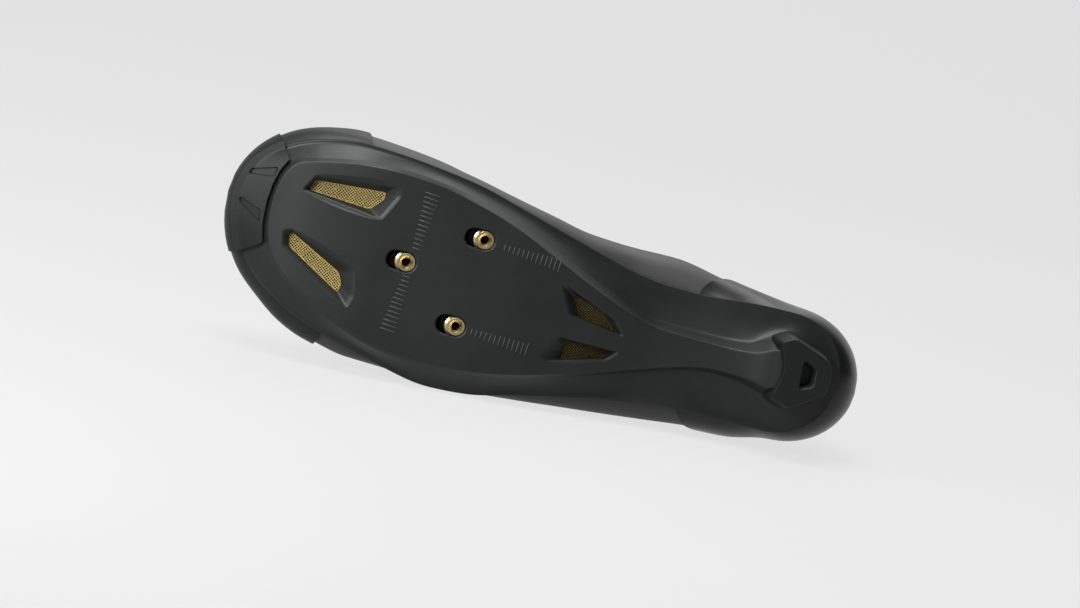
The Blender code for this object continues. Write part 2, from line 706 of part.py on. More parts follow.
def make_cleat_nuts():
    """Round brass nuts with a bevelled mouth, whose flanges lie on the shoulders of the slots."""
    for name, x, y in bolt_places():
        face, _, under = nut_heights(x)
        low, high = face + NUT_SINK, under + NUT_FLANGE
        profile = (
            (NUT_BORE, low + 0.15 * NUT_RADIUS),
            (NUT_BORE + 0.15 * NUT_RADIUS, low),
            (0.95 * NUT_RADIUS, low),
            (NUT_RADIUS, low + 0.05 * NUT_RADIUS),
            (NUT_RADIUS, under),
            (NUT_FLANGE_RADIUS, under),
            (NUT_FLANGE_RADIUS, high),
            (NUT_BORE, high),
        )
        mesh = bmesh.new()
        ring = [mesh.verts.new((radius, 0.0, height)) for radius, height in profile]
        edges = [mesh.edges.new((ring[index - 1], ring[index])) for index in range(len(ring))]
        bmesh.ops.spin(
            mesh,
            geom=ring + edges,
            cent=(0.0, 0.0, 0.0),
            axis=(0.0, 0.0, 1.0),
            angle=2.0 * math.pi,
            steps=NUT_SIDES,
            use_merge=True,
        )
        bmesh.ops.remove_doubles(mesh, verts=mesh.verts, dist=WELD)
        bmesh.ops.recalc_face_normals(mesh, faces=mesh.faces)
        add(name, mesh, "brass", location=(x, y, 0.0))


def make_upper():
    """Hollow upper with a padded collar."""
    upper = add("upper", upper_surface(), "upper_skin")
    group = upper.vertex_groups.new(name="wall")
    for vertex in upper.data.vertices:
        below = (COLLAR(vertex.co.x - UPPER_BACK) - vertex.co.z) / COLLAR_PAD_DEPTH
        front = (vertex.co.x - UPPER_BACK) / (0.34 * UPPER_LENGTH)
        padded = min(max(1.0 - below, 0.0), 1.0) * min(max(3.0 * (1.0 - front), 0.0), 1.0)
        group.add([vertex.index], mix(WALL / COLLAR_PAD, 1.0, padded), "REPLACE")
    thicken(upper, COLLAR_PAD, -1.0).vertex_group = group.name
    return upper


def overlay(name, finish, shape, grown_sole, back, front):
    """Thin skin on the upper between two stations, kept to the inside of a shape and clear of the sole."""
    mesh = upper_surface()
    swell(mesh, GAP)
    beyond = [face for face in mesh.faces if not back < face.calc_center_median().x < front]
    bmesh.ops.delete(mesh, geom=beyond, context="FACES")
    above = [face for face in mesh.faces if face.calc_center_median().z > 0.85 * COLLAR_HEIGHT]
    bmesh.ops.delete(mesh, geom=above, context="FACES")
    piece = add(name, mesh, finish)
    thicken(piece, OVERLAY, 1.0)
    cut(piece, shape, "INTERSECT")
    cut(piece, grown_sole, solver="MANIFOLD")
    return piece


def make_toe_bumper(grown_sole):
    """Rubber bumper that wraps the front of the sole over its rim."""
    count = STATIONS // 3
    around = [(station(STATIONS - index), OUTER) for index in range(count, 0, -1)]
    around += [(station(STATIONS - index), INNER) for index in range(0, count + 1)]
    rows = []
    for share, side in around:
        points = sole_points(share)
        under = points[:5] if side == OUTER else points[7:12][::-1]
        top = rim_point(share, side, 0.0, RIM_LIP * 0.4)
        rows.append([mix(under[3], under[2], 0.05), mix(under[3], under[2], 0.5), under[2], under[1], under[0], top])
    mesh = sheet([(len(rows), len(rows[0]), lambda row, column: rows[row][column])])
    face_away(mesh, Vector((SOLE_LENGTH * 0.8, 0.0, SOLE_RISE * 2.0)))
    swell(mesh, 3.0 * GAP)
    bumper = add("toe_bumper", mesh, "rubber")
    thicken(bumper, BUMPER, 1.0)
    cut(bumper, cutter("toe_bumper_shape", prism(plan(BUMPER_PLAN), -FAR, FAR)), "INTERSECT")
    cut(bumper, grown_sole)
    return bumper


def make_heel_pad(grown_sole):
    """Rubber block under the heel with drafted sides and a deep recess."""
    outline = [Vector((x, y, 0.0)) for x, y in plan(HEEL_PAD_PLAN)]
    high = SOLE_RISE * HEEL_PAD_RISE
    middle = sum(outline, Vector()) / len(outline)
    face = [middle + (point - middle) * (1.0 - HEEL_PAD_DRAFT / (point - middle).length) for point in outline]
    pad = add("heel_pad", lofted([face, [point + Vector((0.0, 0.0, high)) for point in outline]]), "rubber")
    cut(pad, grown_sole)
    cut(
        pad,
        cutter("heel_pad_recess", prism(plan(HEEL_RECESS_PLAN), -HEEL_RECESS_DEPTH, HEEL_RECESS_DEPTH)),
    )
    return pad


def make_insole():
    """Insole that follows the top of the sole inside the wall of the upper."""
    inset = FOOT_INSET + WALL + INSOLE_MARGIN
    rows = []
    for index in range(STATIONS + 1):
        under = bed_points(station(index), inset, GAP)
        over = bed_points(station(index), inset, GAP + INSOLE)
        rows.append(under + over[::-1])
    columns = len(rows[0])
    return add(
        "insole",
        sheet([(STATIONS + 1, columns + 1, lambda row, column: rows[row][column % columns])]),
        "lining",
    )


def tongue_ridge(x):
    """Height of the instep under the laces, carried on in a straight line above the throat."""
    bend = UPPER_BACK + 0.40 * UPPER_LENGTH
    ridge = UPPER["ridge"](x - UPPER_BACK)
    if x >= bend:
        return ridge
    reach = 0.06 * UPPER_LENGTH
    slope = (UPPER["ridge"](bend - UPPER_BACK) - UPPER["ridge"](bend + reach - UPPER_BACK)) / reach
    return UPPER["ridge"](bend - UPPER_BACK) + slope * (bend - x)


def make_tongue():
    """Padded tongue that lies under both edges of the throat."""
    rows, columns = 22, 13

    def place(row, column):
        x = mix(TONGUE_FRONT, TONGUE_TOP, row / (rows - 1))
        across = 2.0 * column / (columns - 1) - 1.0
        side = INNER if across > 0.0 else OUTER
        at = x - UPPER_BACK
        wide = abs(sided(UPPER, "wide", side, at) - UPPER["ridge_side"](at))
        rounded = quarter((x - TONGUE_TOP + 0.002) / (0.4 * THROAT_WIDTH))
        tucked = min(max((x - TONGUE_TUCK) / THROAT_ROUND, 0.0), 1.0)
        overlap = mix(-2.0 * SOFT_GAP, TONGUE_OVERLAP, tucked)
        reach = (throat_gap(min(x, THROAT_FRONT - THROAT_ROUND)) + overlap) * max(rounded, 0.45)
        angle = math.acos(min(abs(across) * reach / wide, 1.0) ** ARCH_FULLNESS)
        return arch_point(x, side, angle, ridge=tongue_ridge(x))

    mesh = sheet([(rows, columns, place)])
    face_away(mesh, Vector((mix(TONGUE_FRONT, TONGUE_TOP, 0.5), 0.0, 0.0)))
    swell(mesh, -(WALL + SOFT_GAP))
    tongue = add("tongue", mesh, "lining")
    thicken(tongue, TONGUE, -1.0)
    return tongue


def make_straps():
    """Hook and loop straps that cross the throat on the form of the upper."""
    rows, columns = 25, 4
    for strap in STRAP_ROWS:

        def place(row, column, strap=strap):
            along = 2.0 * row / (rows - 1) - 1.0
            side = INNER if along > 0.0 else OUTER
            end = strap.end_in if side == INNER else strap.end_out
            angle = math.radians(mix(90.0, end, abs(along)))
            across = column / (columns - 1) - 0.5
            x = UPPER_BACK + strap.at * UPPER_LENGTH
            x += STRAP_WIDTH * (strap.width * across + strap.slant * along)
            return arch_point(x, side, angle, ridge=tongue_ridge(x))

        mesh = sheet([(rows, columns, place)])
        face_away(mesh, Vector((UPPER_BACK + strap.at * UPPER_LENGTH, 0.0, 0.0)))
        swell(mesh, SOFT_GAP)
        piece = add(strap.name, mesh, "strap_web")
        thicken(piece, STRAP, 1.0)


def evaluated_points(piece):
    """Points and triangles of a finished piece, in the upright frame."""
    graph = bpy.context.evaluated_depsgraph_get()
    found = piece.evaluated_get(graph)
    data = found.to_mesh()
    data.calc_loop_triangles()
    points = np.array([found.matrix_world @ vertex.co for vertex in data.vertices])
    faces = np.array([triangle.vertices[:] for triangle in data.loop_triangles])
    found.to_mesh_clear()
    return points, faces


def centre_of_mass(solids):
    """Middle of the shoe's bulk."""
    volume, moment = 0.0, np.zeros(3)
    for points, faces in solids:
        corners = points[faces]
        parts = np.einsum("ij,ij->i", corners[:, 0], np.cross(corners[:, 1], corners[:, 2])) / 6.0
        volume += parts.sum()
        moment += (parts[:, None] * corners.sum(axis=1) / 4.0).sum(axis=0)
    return moment / volume


def resting_normal(points, centre):
    """Direction, in the upright frame, that points down when the shoe lies on its outer side."""
    hull = bmesh.new()
    for point in points:
        hull.verts.new(point)
    bmesh.ops.convex_hull(hull, input=hull.verts, use_existing_faces=False)
    hull.normal_update()
    best = None
    for face in hull.faces:
        normal = np.array(face.normal)
        if -normal[1] < 0.6:
            continue
        corners = [np.array(vertex.co) for vertex in face.verts]
        inside = all(
            np.dot(np.cross(corners[index] - corners[index - 1], centre - corners[index - 1]), normal) > 0.0
            for index in range(len(corners))
        )
        if inside and (best is None or -normal[1] > -best[1]):
            best = normal
    hull.free()
    return best


def lay_down(pieces):
    """Parent every piece to the shoe and lay it on its outer side, its middle over the origin."""
    bpy.context.view_layer.update()
    solids = [evaluated_points(piece) for piece in pieces]
    points = np.concatenate([found[0] for found in solids])
    down = Vector(resting_normal(points, centre_of_mass(solids)))
    up = -down
    right = -(Vector((1.0, 0.0, 0.0)) - up * up.x).normalized()
    away = up.cross(right)
    turned = Matrix((right, away, up))
    laid = points @ np.array(turned).T
    low, high = laid.min(axis=0), laid.max(axis=0)
    shoe = bpy.data.objects.new("shoe", None)
    bpy.context.scene.collection.objects.link(shoe)
    shift = Vector((-(low[0] + high[0]) / 2.0, -(low[1] + high[1]) / 2.0, -low[2]))
    shoe.matrix_world = Matrix.Translation(shift) @ turned.to_4x4()
    for piece in bpy.context.scene.collection.objects:
        if piece != shoe:
            piece.parent = shoe


def main():
    for item in list(bpy.data.objects):
        bpy.data.objects.remove(item, do_unlink=True)
    grown = sole_surface()
    swell(grown, 2.0 * GAP)
    grown_sole = cutter("grown_sole", grown)
    make_outsole()
    make_cleat_nuts()
    make_toe_bumper(grown_sole)
    make_heel_pad(grown_sole)
    make_upper()
    counter_shape = cutter(
        "heel_counter_shape", side_prism(COUNTER_PLAN, COUNTER_REACH, COUNTER_HEIGHT, 0.0, COUNTER_SKEW)
    )
    overlay("heel_counter", "counter_skin", counter_shape, grown_sole, -FAR, 1.5 * COUNTER_REACH)
    guard_shape = cutter(
        "toe_guard_shape", side_prism(GUARD_PLAN, SOLE_LENGTH - GUARD_BACK, GUARD_HEIGHT, GUARD_BACK, 0.0)
    )
    overlay("toe_guard", "toe_rubber", guard_shape, grown_sole, 0.9 * GUARD_BACK, FAR * 2.0)
    make_insole()
    make_tongue()
    make_straps()
    lay_down([piece for piece in bpy.context.scene.collection.objects if not piece.hide_render])


main()
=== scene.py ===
"""Looks of a right-foot road cycling shoe that lies on its outer side, its sole towards the camera.

Every piece is shaped in the shoe's own upright frame (X heel to toe, Y to the inner side, Z up) and
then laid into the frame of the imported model.
"""

import itertools
import json
import logging
import math
from dataclasses import dataclass, field
from enum import Enum
from typing import Callable, Iterable, NamedTuple, Optional, Sequence

import bmesh
import bpy
from mathutils import Matrix, Vector
from mathutils.bvhtree import BVHTree


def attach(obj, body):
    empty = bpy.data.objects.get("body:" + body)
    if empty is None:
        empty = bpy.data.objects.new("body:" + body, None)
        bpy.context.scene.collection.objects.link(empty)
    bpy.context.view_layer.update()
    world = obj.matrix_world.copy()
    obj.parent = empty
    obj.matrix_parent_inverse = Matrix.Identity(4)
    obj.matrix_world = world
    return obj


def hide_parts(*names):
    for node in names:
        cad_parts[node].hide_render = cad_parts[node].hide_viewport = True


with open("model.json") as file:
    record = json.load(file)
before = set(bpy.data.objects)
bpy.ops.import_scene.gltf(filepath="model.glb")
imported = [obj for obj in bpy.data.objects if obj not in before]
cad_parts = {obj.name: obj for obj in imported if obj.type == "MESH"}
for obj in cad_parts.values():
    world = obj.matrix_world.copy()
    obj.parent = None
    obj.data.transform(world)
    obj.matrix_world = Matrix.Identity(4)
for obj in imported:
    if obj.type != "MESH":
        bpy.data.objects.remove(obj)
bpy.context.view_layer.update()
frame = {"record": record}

logging.basicConfig(level=logging.INFO, format="%(message)s")
LOG = logging.getLogger("cycling_shoe")

MM = 0.001
GAP = 0.3 * MM
SOFT_GAP = 0.5 * MM
WELD = 0.02 * MM
FAR = 0.2

Place = Callable[[int, int], Vector]


class Side(Enum):
    """The two sides of the foot."""

    INNER = 1
    OUTER = -1


class Slot(Enum):
    """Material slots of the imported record."""

    SOLE = "sole_shell"
    UPPER = "upper_skin"
    LINING = "lining"
    TOE = "toe_rubber"
    COUNTER = "counter_skin"
    RUBBER = "rubber"
    BRASS = "brass"
    MESH = "gold_mesh"
    STRAP = "strap_web"


class SoleRow(NamedTuple):
    """A section of the sole, in shares of its length, width and rise."""

    at: float
    rim_in: float
    rim_out: float
    rise_in: float
    rise_out: float
    plate_in: float
    plate_out: float
    plate: float
    step_in: float
    step_out: float
    bed: float
    dish: float


class UpperRow(NamedTuple):
    """A section of the upper, in shares of its length, width and instep height."""

    at: float
    wide_in: float
    wide_out: float
    high_in: float
    high_out: float
    ridge: float
    ridge_side: float


class EdgeRow(NamedTuple):
    """A point of the collar's top line or of the throat's edge."""

    at: float
    value: float


class PlanPoint(NamedTuple):
    """A corner of an outline, in shares of the sole's length and width."""

    at: float
    side: float


SOLE_ROWS = (
    SoleRow(0.000, 0.210, -0.361, 0.680, 0.680, 0.086, -0.205, 0.080, 0.400, 0.400, 0.690, 0.000),
    SoleRow(0.051, 0.210, -0.362, 0.692, 0.688, 0.086, -0.205, 0.080, 0.400, 0.400, 0.690, 0.000),
    SoleRow(0.098, 0.210, -0.365, 0.732, 0.712, 0.086, -0.205, 0.090, 0.390, 0.390, 0.690, 0.020),
    SoleRow(0.130, 0.208, -0.367, 0.780, 0.720, 0.065, -0.192, 0.180, 0.380, 0.360, 0.690, 0.040),
    SoleRow(0.166, 0.202, -0.371, 0.852, 0.720, 0.017, -0.170, 0.350, 0.340, 0.250, 0.710, 0.040),
    SoleRow(0.210, 0.186, -0.372, 0.920, 0.704, 0.004, -0.166, 0.500, 0.300, 0.180, 0.740, 0.040),
    SoleRow(0.260, 0.172, -0.377, 0.980, 0.688, 0.001, -0.194, 0.560, 0.280, 0.140, 0.780, 0.040),
    SoleRow(0.311, 0.172, -0.394, 1.000, 0.668, 0.002, -0.241, 0.560, 0.280, 0.120, 0.780, 0.040),
    SoleRow(0.365, 0.192, -0.420, 1.000, 0.640, 0.041, -0.294, 0.460, 0.300, 0.120, 0.720, 0.040),
    SoleRow(0.434, 0.240, -0.459, 0.920, 0.600, 0.113, -0.356, 0.280, 0.300, 0.140, 0.580, 0.040),
    SoleRow(0.506, 0.293, -0.506, 0.780, 0.560, 0.199, -0.415, 0.140, 0.280, 0.140, 0.460, 0.040),
    SoleRow(0.579, 0.348, -0.557, 0.620, 0.520, 0.280, -0.458, 0.100, 0.200, 0.120, 0.400, 0.032),
    SoleRow(0.644, 0.394, -0.568, 0.500, 0.480, 0.329, -0.474, 0.100, 0.140, 0.080, 0.380, 0.024),
    SoleRow(0.720, 0.422, -0.531, 0.440, 0.464, 0.366, -0.463, 0.100, 0.088, 0.064, 0.380, 0.016),
    SoleRow(0.774, 0.435, -0.492, 0.432, 0.472, 0.372, -0.429, 0.100, 0.080, 0.060, 0.390, 0.012),
    SoleRow(0.828, 0.440, -0.456, 0.480, 0.528, 0.362, -0.370, 0.188, 0.080, 0.060, 0.460, 0.008),
    SoleRow(0.893, 0.435, -0.420, 0.620, 0.670, 0.323, -0.275, 0.372, 0.080, 0.060, 0.620, 0.000),
    SoleRow(0.944, 0.442, -0.407, 0.780, 0.800, 0.286, -0.172, 0.560, 0.080, 0.060, 0.780, 0.000),
    SoleRow(1.000, 0.458, -0.393, 0.920, 0.920, 0.286, -0.162, 0.720, 0.080, 0.060, 0.900, 0.000),
)
UPPER_ROWS = (
    UpperRow(0.000, 0.201, -0.378, 0.396, 0.396, 1.066, -0.094),
    UpperRow(0.055, 0.204, -0.379, 0.387, 0.387, 1.066, -0.096),
    UpperRow(0.110, 0.210, -0.385, 0.377, 0.377, 1.066, -0.097),
    UpperRow(0.179, 0.231, -0.425, 0.368, 0.349, 1.057, -0.098),
    UpperRow(0.238, 0.254, -0.433, 0.396, 0.321, 1.057, -0.096),
    UpperRow(0.314, 0.288, -0.456, 0.434, 0.283, 1.047, -0.094),
    UpperRow(0.383, 0.283, -0.478, 0.425, 0.264, 1.000, -0.091),
    UpperRow(0.452, 0.291, -0.498, 0.396, 0.245, 0.887, -0.083),
    UpperRow(0.521, 0.327, -0.518, 0.349, 0.226, 0.783, -0.073),
    UpperRow(0.590, 0.365, -0.531, 0.311, 0.208, 0.689, -0.057),
    UpperRow(0.659, 0.405, -0.531, 0.283, 0.198, 0.604, -0.042),
    UpperRow(0.728, 0.438, -0.524, 0.264, 0.195, 0.540, -0.021),
    UpperRow(0.779, 0.451, -0.521, 0.255, 0.205, 0.510, -0.010),
    UpperRow(0.831, 0.458, -0.492, 0.255, 0.225, 0.485, 0.000),
    UpperRow(0.883, 0.450, -0.454, 0.260, 0.250, 0.465, 0.016),
    UpperRow(0.941, 0.456, -0.417, 0.275, 0.275, 0.450, 0.036),
    UpperRow(1.000, 0.464, -0.422, 0.295, 0.295, 0.435, 0.052),
)
COLLAR_ROWS = (
    EdgeRow(0.000, 1.000),
    EdgeRow(0.038, 0.994),
    EdgeRow(0.079, 0.954),
    EdgeRow(0.124, 0.885),
    EdgeRow(0.183, 0.822),
    EdgeRow(0.238, 0.839),
    EdgeRow(0.286, 0.920),
    EdgeRow(0.331, 1.057),
    EdgeRow(0.372, 1.230),
    EdgeRow(0.452, 1.552),
)
THROAT_ROWS = (
    EdgeRow(0.000, 1.00),
    EdgeRow(0.372, 1.00),
    EdgeRow(0.452, 0.92),
    EdgeRow(0.555, 0.78),
    EdgeRow(0.631, 0.68),
    EdgeRow(1.000, 0.60),
)


def mix(low: float, high: float, share: float) -> float:
    """The value this share of the way from low to high; points mix too."""
    return low + (high - low) * share


def clamp(value: float, low: float = 0.0, high: float = 1.0) -> float:
    """The value held between two limits."""
    return min(max(value, low), high)


def quarter(share: float) -> float:
    """Breadth of a rounded end this share of the way in."""
    share = clamp(share)
    return math.sqrt(share * (2.0 - share))


def bump(distance: float, reach: float) -> float:
    """A soft hump of height 1 that fades to nothing at its reach."""
    return 0.5 + 0.5 * math.cos(math.pi * clamp(abs(distance) / reach))


class Profile:
    """Smooth curve through a table's column, level between equal rows and never past them."""

    def __init__(self, rows: Sequence[NamedTuple], column: str, length: float, scale: float) -> None:
        """Fit the curve.

        Args:
            rows: the table.
            column: name of the column to follow.
            length: what the column "at" is a share of.
            scale: what the column's values are shares of.
        """
        self.places = [row.at * length for row in rows]
        self.values = [getattr(row, column) * scale for row in rows]
        count = len(rows)
        steps = [
            (self.values[i + 1] - self.values[i]) / (self.places[i + 1] - self.places[i])
            for i in range(count - 1)
        ]
        self.slopes = [steps[0]] + [0.0] * (count - 2) + [steps[-1]]
        for i in range(1, count - 1):
            if steps[i - 1] * steps[i] > 0.0:
                self.slopes[i] = 2.0 * steps[i - 1] * steps[i] / (steps[i - 1] + steps[i])

    def __call__(self, place: float) -> float:
        """Value of the curve at a place, in metres."""
        place = clamp(place, self.places[0], self.places[-1])
        row = 0
        while row < len(self.places) - 2 and place >= self.places[row + 1]:
            row += 1
        run = self.places[row + 1] - self.places[row]
        t = (place - self.places[row]) / run
        low, high = self.values[row], self.values[row + 1]
        return (
            low * (1.0 + 2.0 * t) * (1.0 - t) ** 2
            + high * t * t * (3.0 - 2.0 * t)
            + run * t * (1.0 - t) * (self.slopes[row] * (1.0 - t) - self.slopes[row + 1] * t)
        )


@dataclass(frozen=True)
class LastSizes:
    """Main sizes of the shoe, in metres."""

    sole_length: float = 0.2765
    sole_width: float = 0.0928
    sole_rise: float = 0.025
    sole_back: float = 0.0014
    rim_lip: float = 0.0016
    ledge: float = 0.0034
    bed_shoulder: float = 0.009
    heel_round: float = 0.026
    toe_round: float = 0.048
    heel_axis: float = -0.007
    toe_axis: float = 0.006
    plate_back: float = 0.0273
    plate_front: float = 0.2635
    plate_round: float = 0.008
    plate_bevel: float = 0.0012
    upper_length: float = 0.2888
    heel_swell: float = 0.0124
    upper_width: float = 0.096
    instep_height: float = 0.106
    collar_height: float = 0.087
    wall: float = 0.0022
    foot_inset: float = 0.0012
    collar_pad: float = 0.005
    collar_pad_depth: float = 0.022
    upper_round: float = 0.030
    cap_round: float = 0.045
    cap_slope: float = 0.026
    heel_lean: float = 0.008
    fullness: float = 1.1
    throat_width: float = 0.038
    throat_front: float = 0.197
    throat_round: float = 0.016


class Last:
    """The form that the sole and the upper share."""

    def __init__(self, sizes: LastSizes) -> None:
        """Fit the curves of the form to its tables.

        Args:
            sizes: main sizes of the shoe.
        """
        s = self.sizes = sizes
        self.sole = {
            column: Profile(
                SOLE_ROWS,
                column,
                s.sole_length,
                s.sole_width if column.startswith(("rim", "plate_")) else s.sole_rise,
            )
            for column in SoleRow._fields[1:]
        }
        self.upper = {
            column: Profile(
                UPPER_ROWS,
                column,
                s.upper_length,
                s.instep_height if column in ("high_in", "high_out", "ridge") else s.upper_width,
            )
            for column in UpperRow._fields[1:]
        }
        self.collar = Profile(COLLAR_ROWS, "value", s.upper_length, s.collar_height)
        self.throat = Profile(THROAT_ROWS, "value", s.upper_length, s.throat_width)
        self.back = s.sole_back - s.heel_swell
        self.front = self.back + s.upper_length

    def sided(self, table: str, name: str, side: Side, place: float, fullness: float = 1.0) -> float:
        """A column's inner or outer value, drawn to their mean where the form closes.

        Args:
            table: "sole" or "upper".
            name: the column's name without its side.
            side: side of the foot.
            place: distance along the table's length.
            fullness: 0 where the form closes, and 1 in the open.

        Returns:
            The value in metres.
        """
        columns = self.sole if table == "sole" else self.upper
        inner, outer = columns[name + "_in"](place), columns[name + "_out"](place)
        mean = (inner + outer) / 2.0
        return mean + ((inner if side is Side.INNER else outer) - mean) * fullness

    def rim_point(self, share: float, side: Side, inset: float, lift: float = 0.0) -> Vector:
        """Point on the sole's outline.

        Args:
            share: share of the sole's length.
            side: side of the foot.
            inset: how far the point is drawn in.
            lift: how far it is raised.

        Returns:
            The point in the upright frame.
        """
        s = self.sizes
        start, end = s.sole_back + inset, s.sole_length - inset
        x = mix(start, end, share)
        fullness = quarter((x - start) / (s.heel_round - inset)) * quarter((end - x) / (s.toe_round - inset))
        axis = mix(s.heel_axis, s.toe_axis, share)
        edge = self.sided("sole", "rim", side, x) - side.value * inset
        z = self.sided("sole", "rise", side, x, fullness) + lift
        return Vector((x, axis + (edge - axis) * fullness, z))

    def plate_place(self, share: float) -> float:
        """How far along the sole the plate has its point for a share of the rim's length."""
        s = self.sizes
        rim = mix(s.sole_back, s.sole_length, share)
        rear, front = 2.2 * s.plate_back, 0.9 * s.plate_front
        if rim < rear:
            return mix(s.plate_back, rear, (rim - s.sole_back) / (rear - s.sole_back))
        if rim > front:
            return mix(front, s.plate_front, (rim - front) / (s.sole_length - front))
        return rim

    def plate_point(self, share: float, side: Side, inset: float, raised: float) -> Vector:
        """Point on the plate's outline.

        Args:
            share: share of the sole's length.
            side: side of the foot.
            inset: how far the point is drawn in.
            raised: 1 at the plate's foot and 0 at its face.

        Returns:
            The point in the upright frame.
        """
        s = self.sizes
        x = self.plate_place(share)
        along = (x - s.plate_back) / (s.plate_front - s.plate_back)
        x = mix(s.plate_back + inset, s.plate_front - inset, along)
        fullness = quarter((x - s.plate_back - inset) / s.plate_round)
        fullness *= quarter((s.plate_front - inset - x) / s.plate_round)
        axis = mix(s.heel_axis, s.toe_axis, share)
        step = self.sided("sole", "step", side, x, fullness)
        slope = 1.0 + 0.25 * step / s.plate_bevel
        edge = self.sided("sole", "plate", side, x) - side.value * inset * slope
        return Vector((x, axis + (edge - axis) * fullness, self.sole["plate"](x) + raised * step))

    def bed_points(self, share: float, inset: float, lift: float = 0.0) -> list[Vector]:
        """Points across the top of the sole from the inner ledge to the outer one.

        Args:
            share: share of the sole's length.
            inset: how far in from the outline the run starts.
            lift: how far it is raised.

        Returns:
            Seven points in the upright frame.
        """
        s = self.sizes
        ends = {}
        for side in Side:
            ledge = self.rim_point(share, side, s.ledge, s.rim_lip)
            shoulder = self.rim_point(share, side, s.bed_shoulder)
            shoulder.z = mix(self.sole["bed"](shoulder.x), shoulder.z + s.rim_lip, 0.8)
            ends[side] = [ledge.lerp(shoulder, (inset - s.ledge) / (s.bed_shoulder - s.ledge)), shoulder]
        inner, outer = ends[Side.INNER], ends[Side.OUTER]
        middle = []
        for part in (0.26, 0.5, 0.74):
            point = inner[1].lerp(outer[1], part)
            breadth = clamp(abs(inner[1].y - outer[1].y) / 0.03)
            point.z = mix(point.z, self.sole["bed"](point.x), breadth)
            middle.append(point)
        raised = Vector((0.0, 0.0, lift))
        return [point + raised for point in inner + middle + outer[::-1]]

    def under_points(self, share: float, side: Side) -> list[Vector]:
        """Points under one side of the sole, from its edge to the face of the plate."""
        s = self.sizes
        lip = self.rim_point(share, side, s.rim_lip)
        foot = self.plate_point(share, side, 0.0, 1.0)
        middle = (lip + foot) / 2.0
        middle.z += self.sole["dish"](middle.x)
        face = self.plate_point(share, side, s.plate_bevel, 0.0)
        return [self.rim_point(share, side, 0.0), lip, middle, foot, face]

    def throat_gap(self, x: float) -> float:
        """Half the width of the opening over the instep."""
        s = self.sizes
        return self.throat(x - self.back) / 2.0 * quarter((s.throat_front - x) / s.throat_round)

    def edge_angle(self, x: float, side: Side) -> float:
        """Angle up the arch of the upper where its wall ends, at the collar or at the throat."""
        place = x - self.back
        wide = abs(self.sided("upper", "wide", side, place) - self.upper["ridge_side"](place))
        high = self.sided("upper", "high", side, place)
        collar = clamp((self.collar(place) - high) / (self.upper["ridge"](place) - high))
        throat = min(self.throat_gap(x) / wide, 1.0)
        power = self.sizes.fullness
        return min(math.asin(collar**power), math.acos(throat**power))

    def arch_point(
        self,
        x: float,
        side: Side,
        angle: float,
        fullness: float = 1.0,
        axis: float = 0.0,
        ridge: Optional[float] = None,
    ) -> Vector:
        """Point on the upper's outer form above its widest line.

        Args:
            x: distance along the shoe.
            side: side of the foot.
            angle: angle up the arch.
            fullness: 0 where the form closes, and 1 in the open.
            axis: where the form closes.
            ridge: height of the ridge, if not the table's.

        Returns:
            The point in the upright frame.
        """
        place = x - self.back
        wide = self.sided("upper", "wide", side, place)
        high = self.sided("upper", "high", side, place, fullness)
        ridge = self.upper["ridge"](place) if ridge is None else ridge
        power = 1.0 / self.sizes.fullness
        y = mix(self.upper["ridge_side"](place), wide, max(math.cos(angle), 0.0) ** power)
        z = mix(high, ridge, math.sin(angle) ** power)
        return Vector((x, axis + (y - axis) * fullness, z))

    def upper_point(self, share: float, level: float, side: Side) -> Vector:
        """Point on the upper's outer form.

        Args:
            share: share of the upper's length.
            level: -1 at the sole, 0 at the widest line, and 1 at the collar or the throat.
            side: side of the foot.

        Returns:
            The point in the upright frame.
        """
        s = self.sizes
        axis = mix(s.heel_axis - 0.002, s.toe_axis - 0.001, share)
        if level <= 0.0:
            turn = (level + 1.0) * math.pi / 2.0
            rise = 0.35 * (level + 1.0) + 0.65 * (1.0 - math.cos(turn))
            foot = self.rim_point(share, side, s.foot_inset, s.rim_lip + 1.5 * GAP)
            x = mix(self.back, self.front, share)
            fullness = quarter((x - self.back) / s.upper_round) * quarter((self.front - x) / s.cap_round)
            wide = self.arch_point(x, side, 0.0, fullness, axis)
            swell = math.sin(turn)
            return Vector((mix(foot.x, wide.x, swell), mix(foot.y, wide.y, swell), mix(foot.z, wide.z, rise)))
        angle = level * self.edge_angle(mix(self.back, self.front, share), side)
        high = self.sided("upper", "high", side, 0.0)
        height = mix(high, self.upper["ridge"](0.0), math.sin(angle) ** (1.0 / s.fullness))
        climb = (height - high) / (s.collar_height - high)
        start = self.back + s.heel_lean * climb**2
        end = self.front - s.cap_slope * (1.0 - math.cos(angle))
        x = mix(start, end, share)
        fullness = quarter((x - start) / s.upper_round) * quarter((end - x) / s.cap_round)
        return self.arch_point(x, side, angle, fullness, axis)

    def instep(self, x: float) -> float:
        """Height of the instep under the straps, carried on in a straight line above the throat."""
        bend = self.back + 0.40 * self.sizes.upper_length
        if x >= bend:
            return self.upper["ridge"](x - self.back)
        reach = 0.06 * self.sizes.upper_length
        low, high = self.upper["ridge"](bend + reach - self.back), self.upper["ridge"](bend - self.back)
        return high + (high - low) / reach * (bend - x)


def station(index: int, count: int) -> float:
    """Share of the length at a station; the stations crowd towards both ends."""
    even = index / count
    return 0.25 * even + 0.75 * (1.0 - math.cos(math.pi * even)) / 2.0


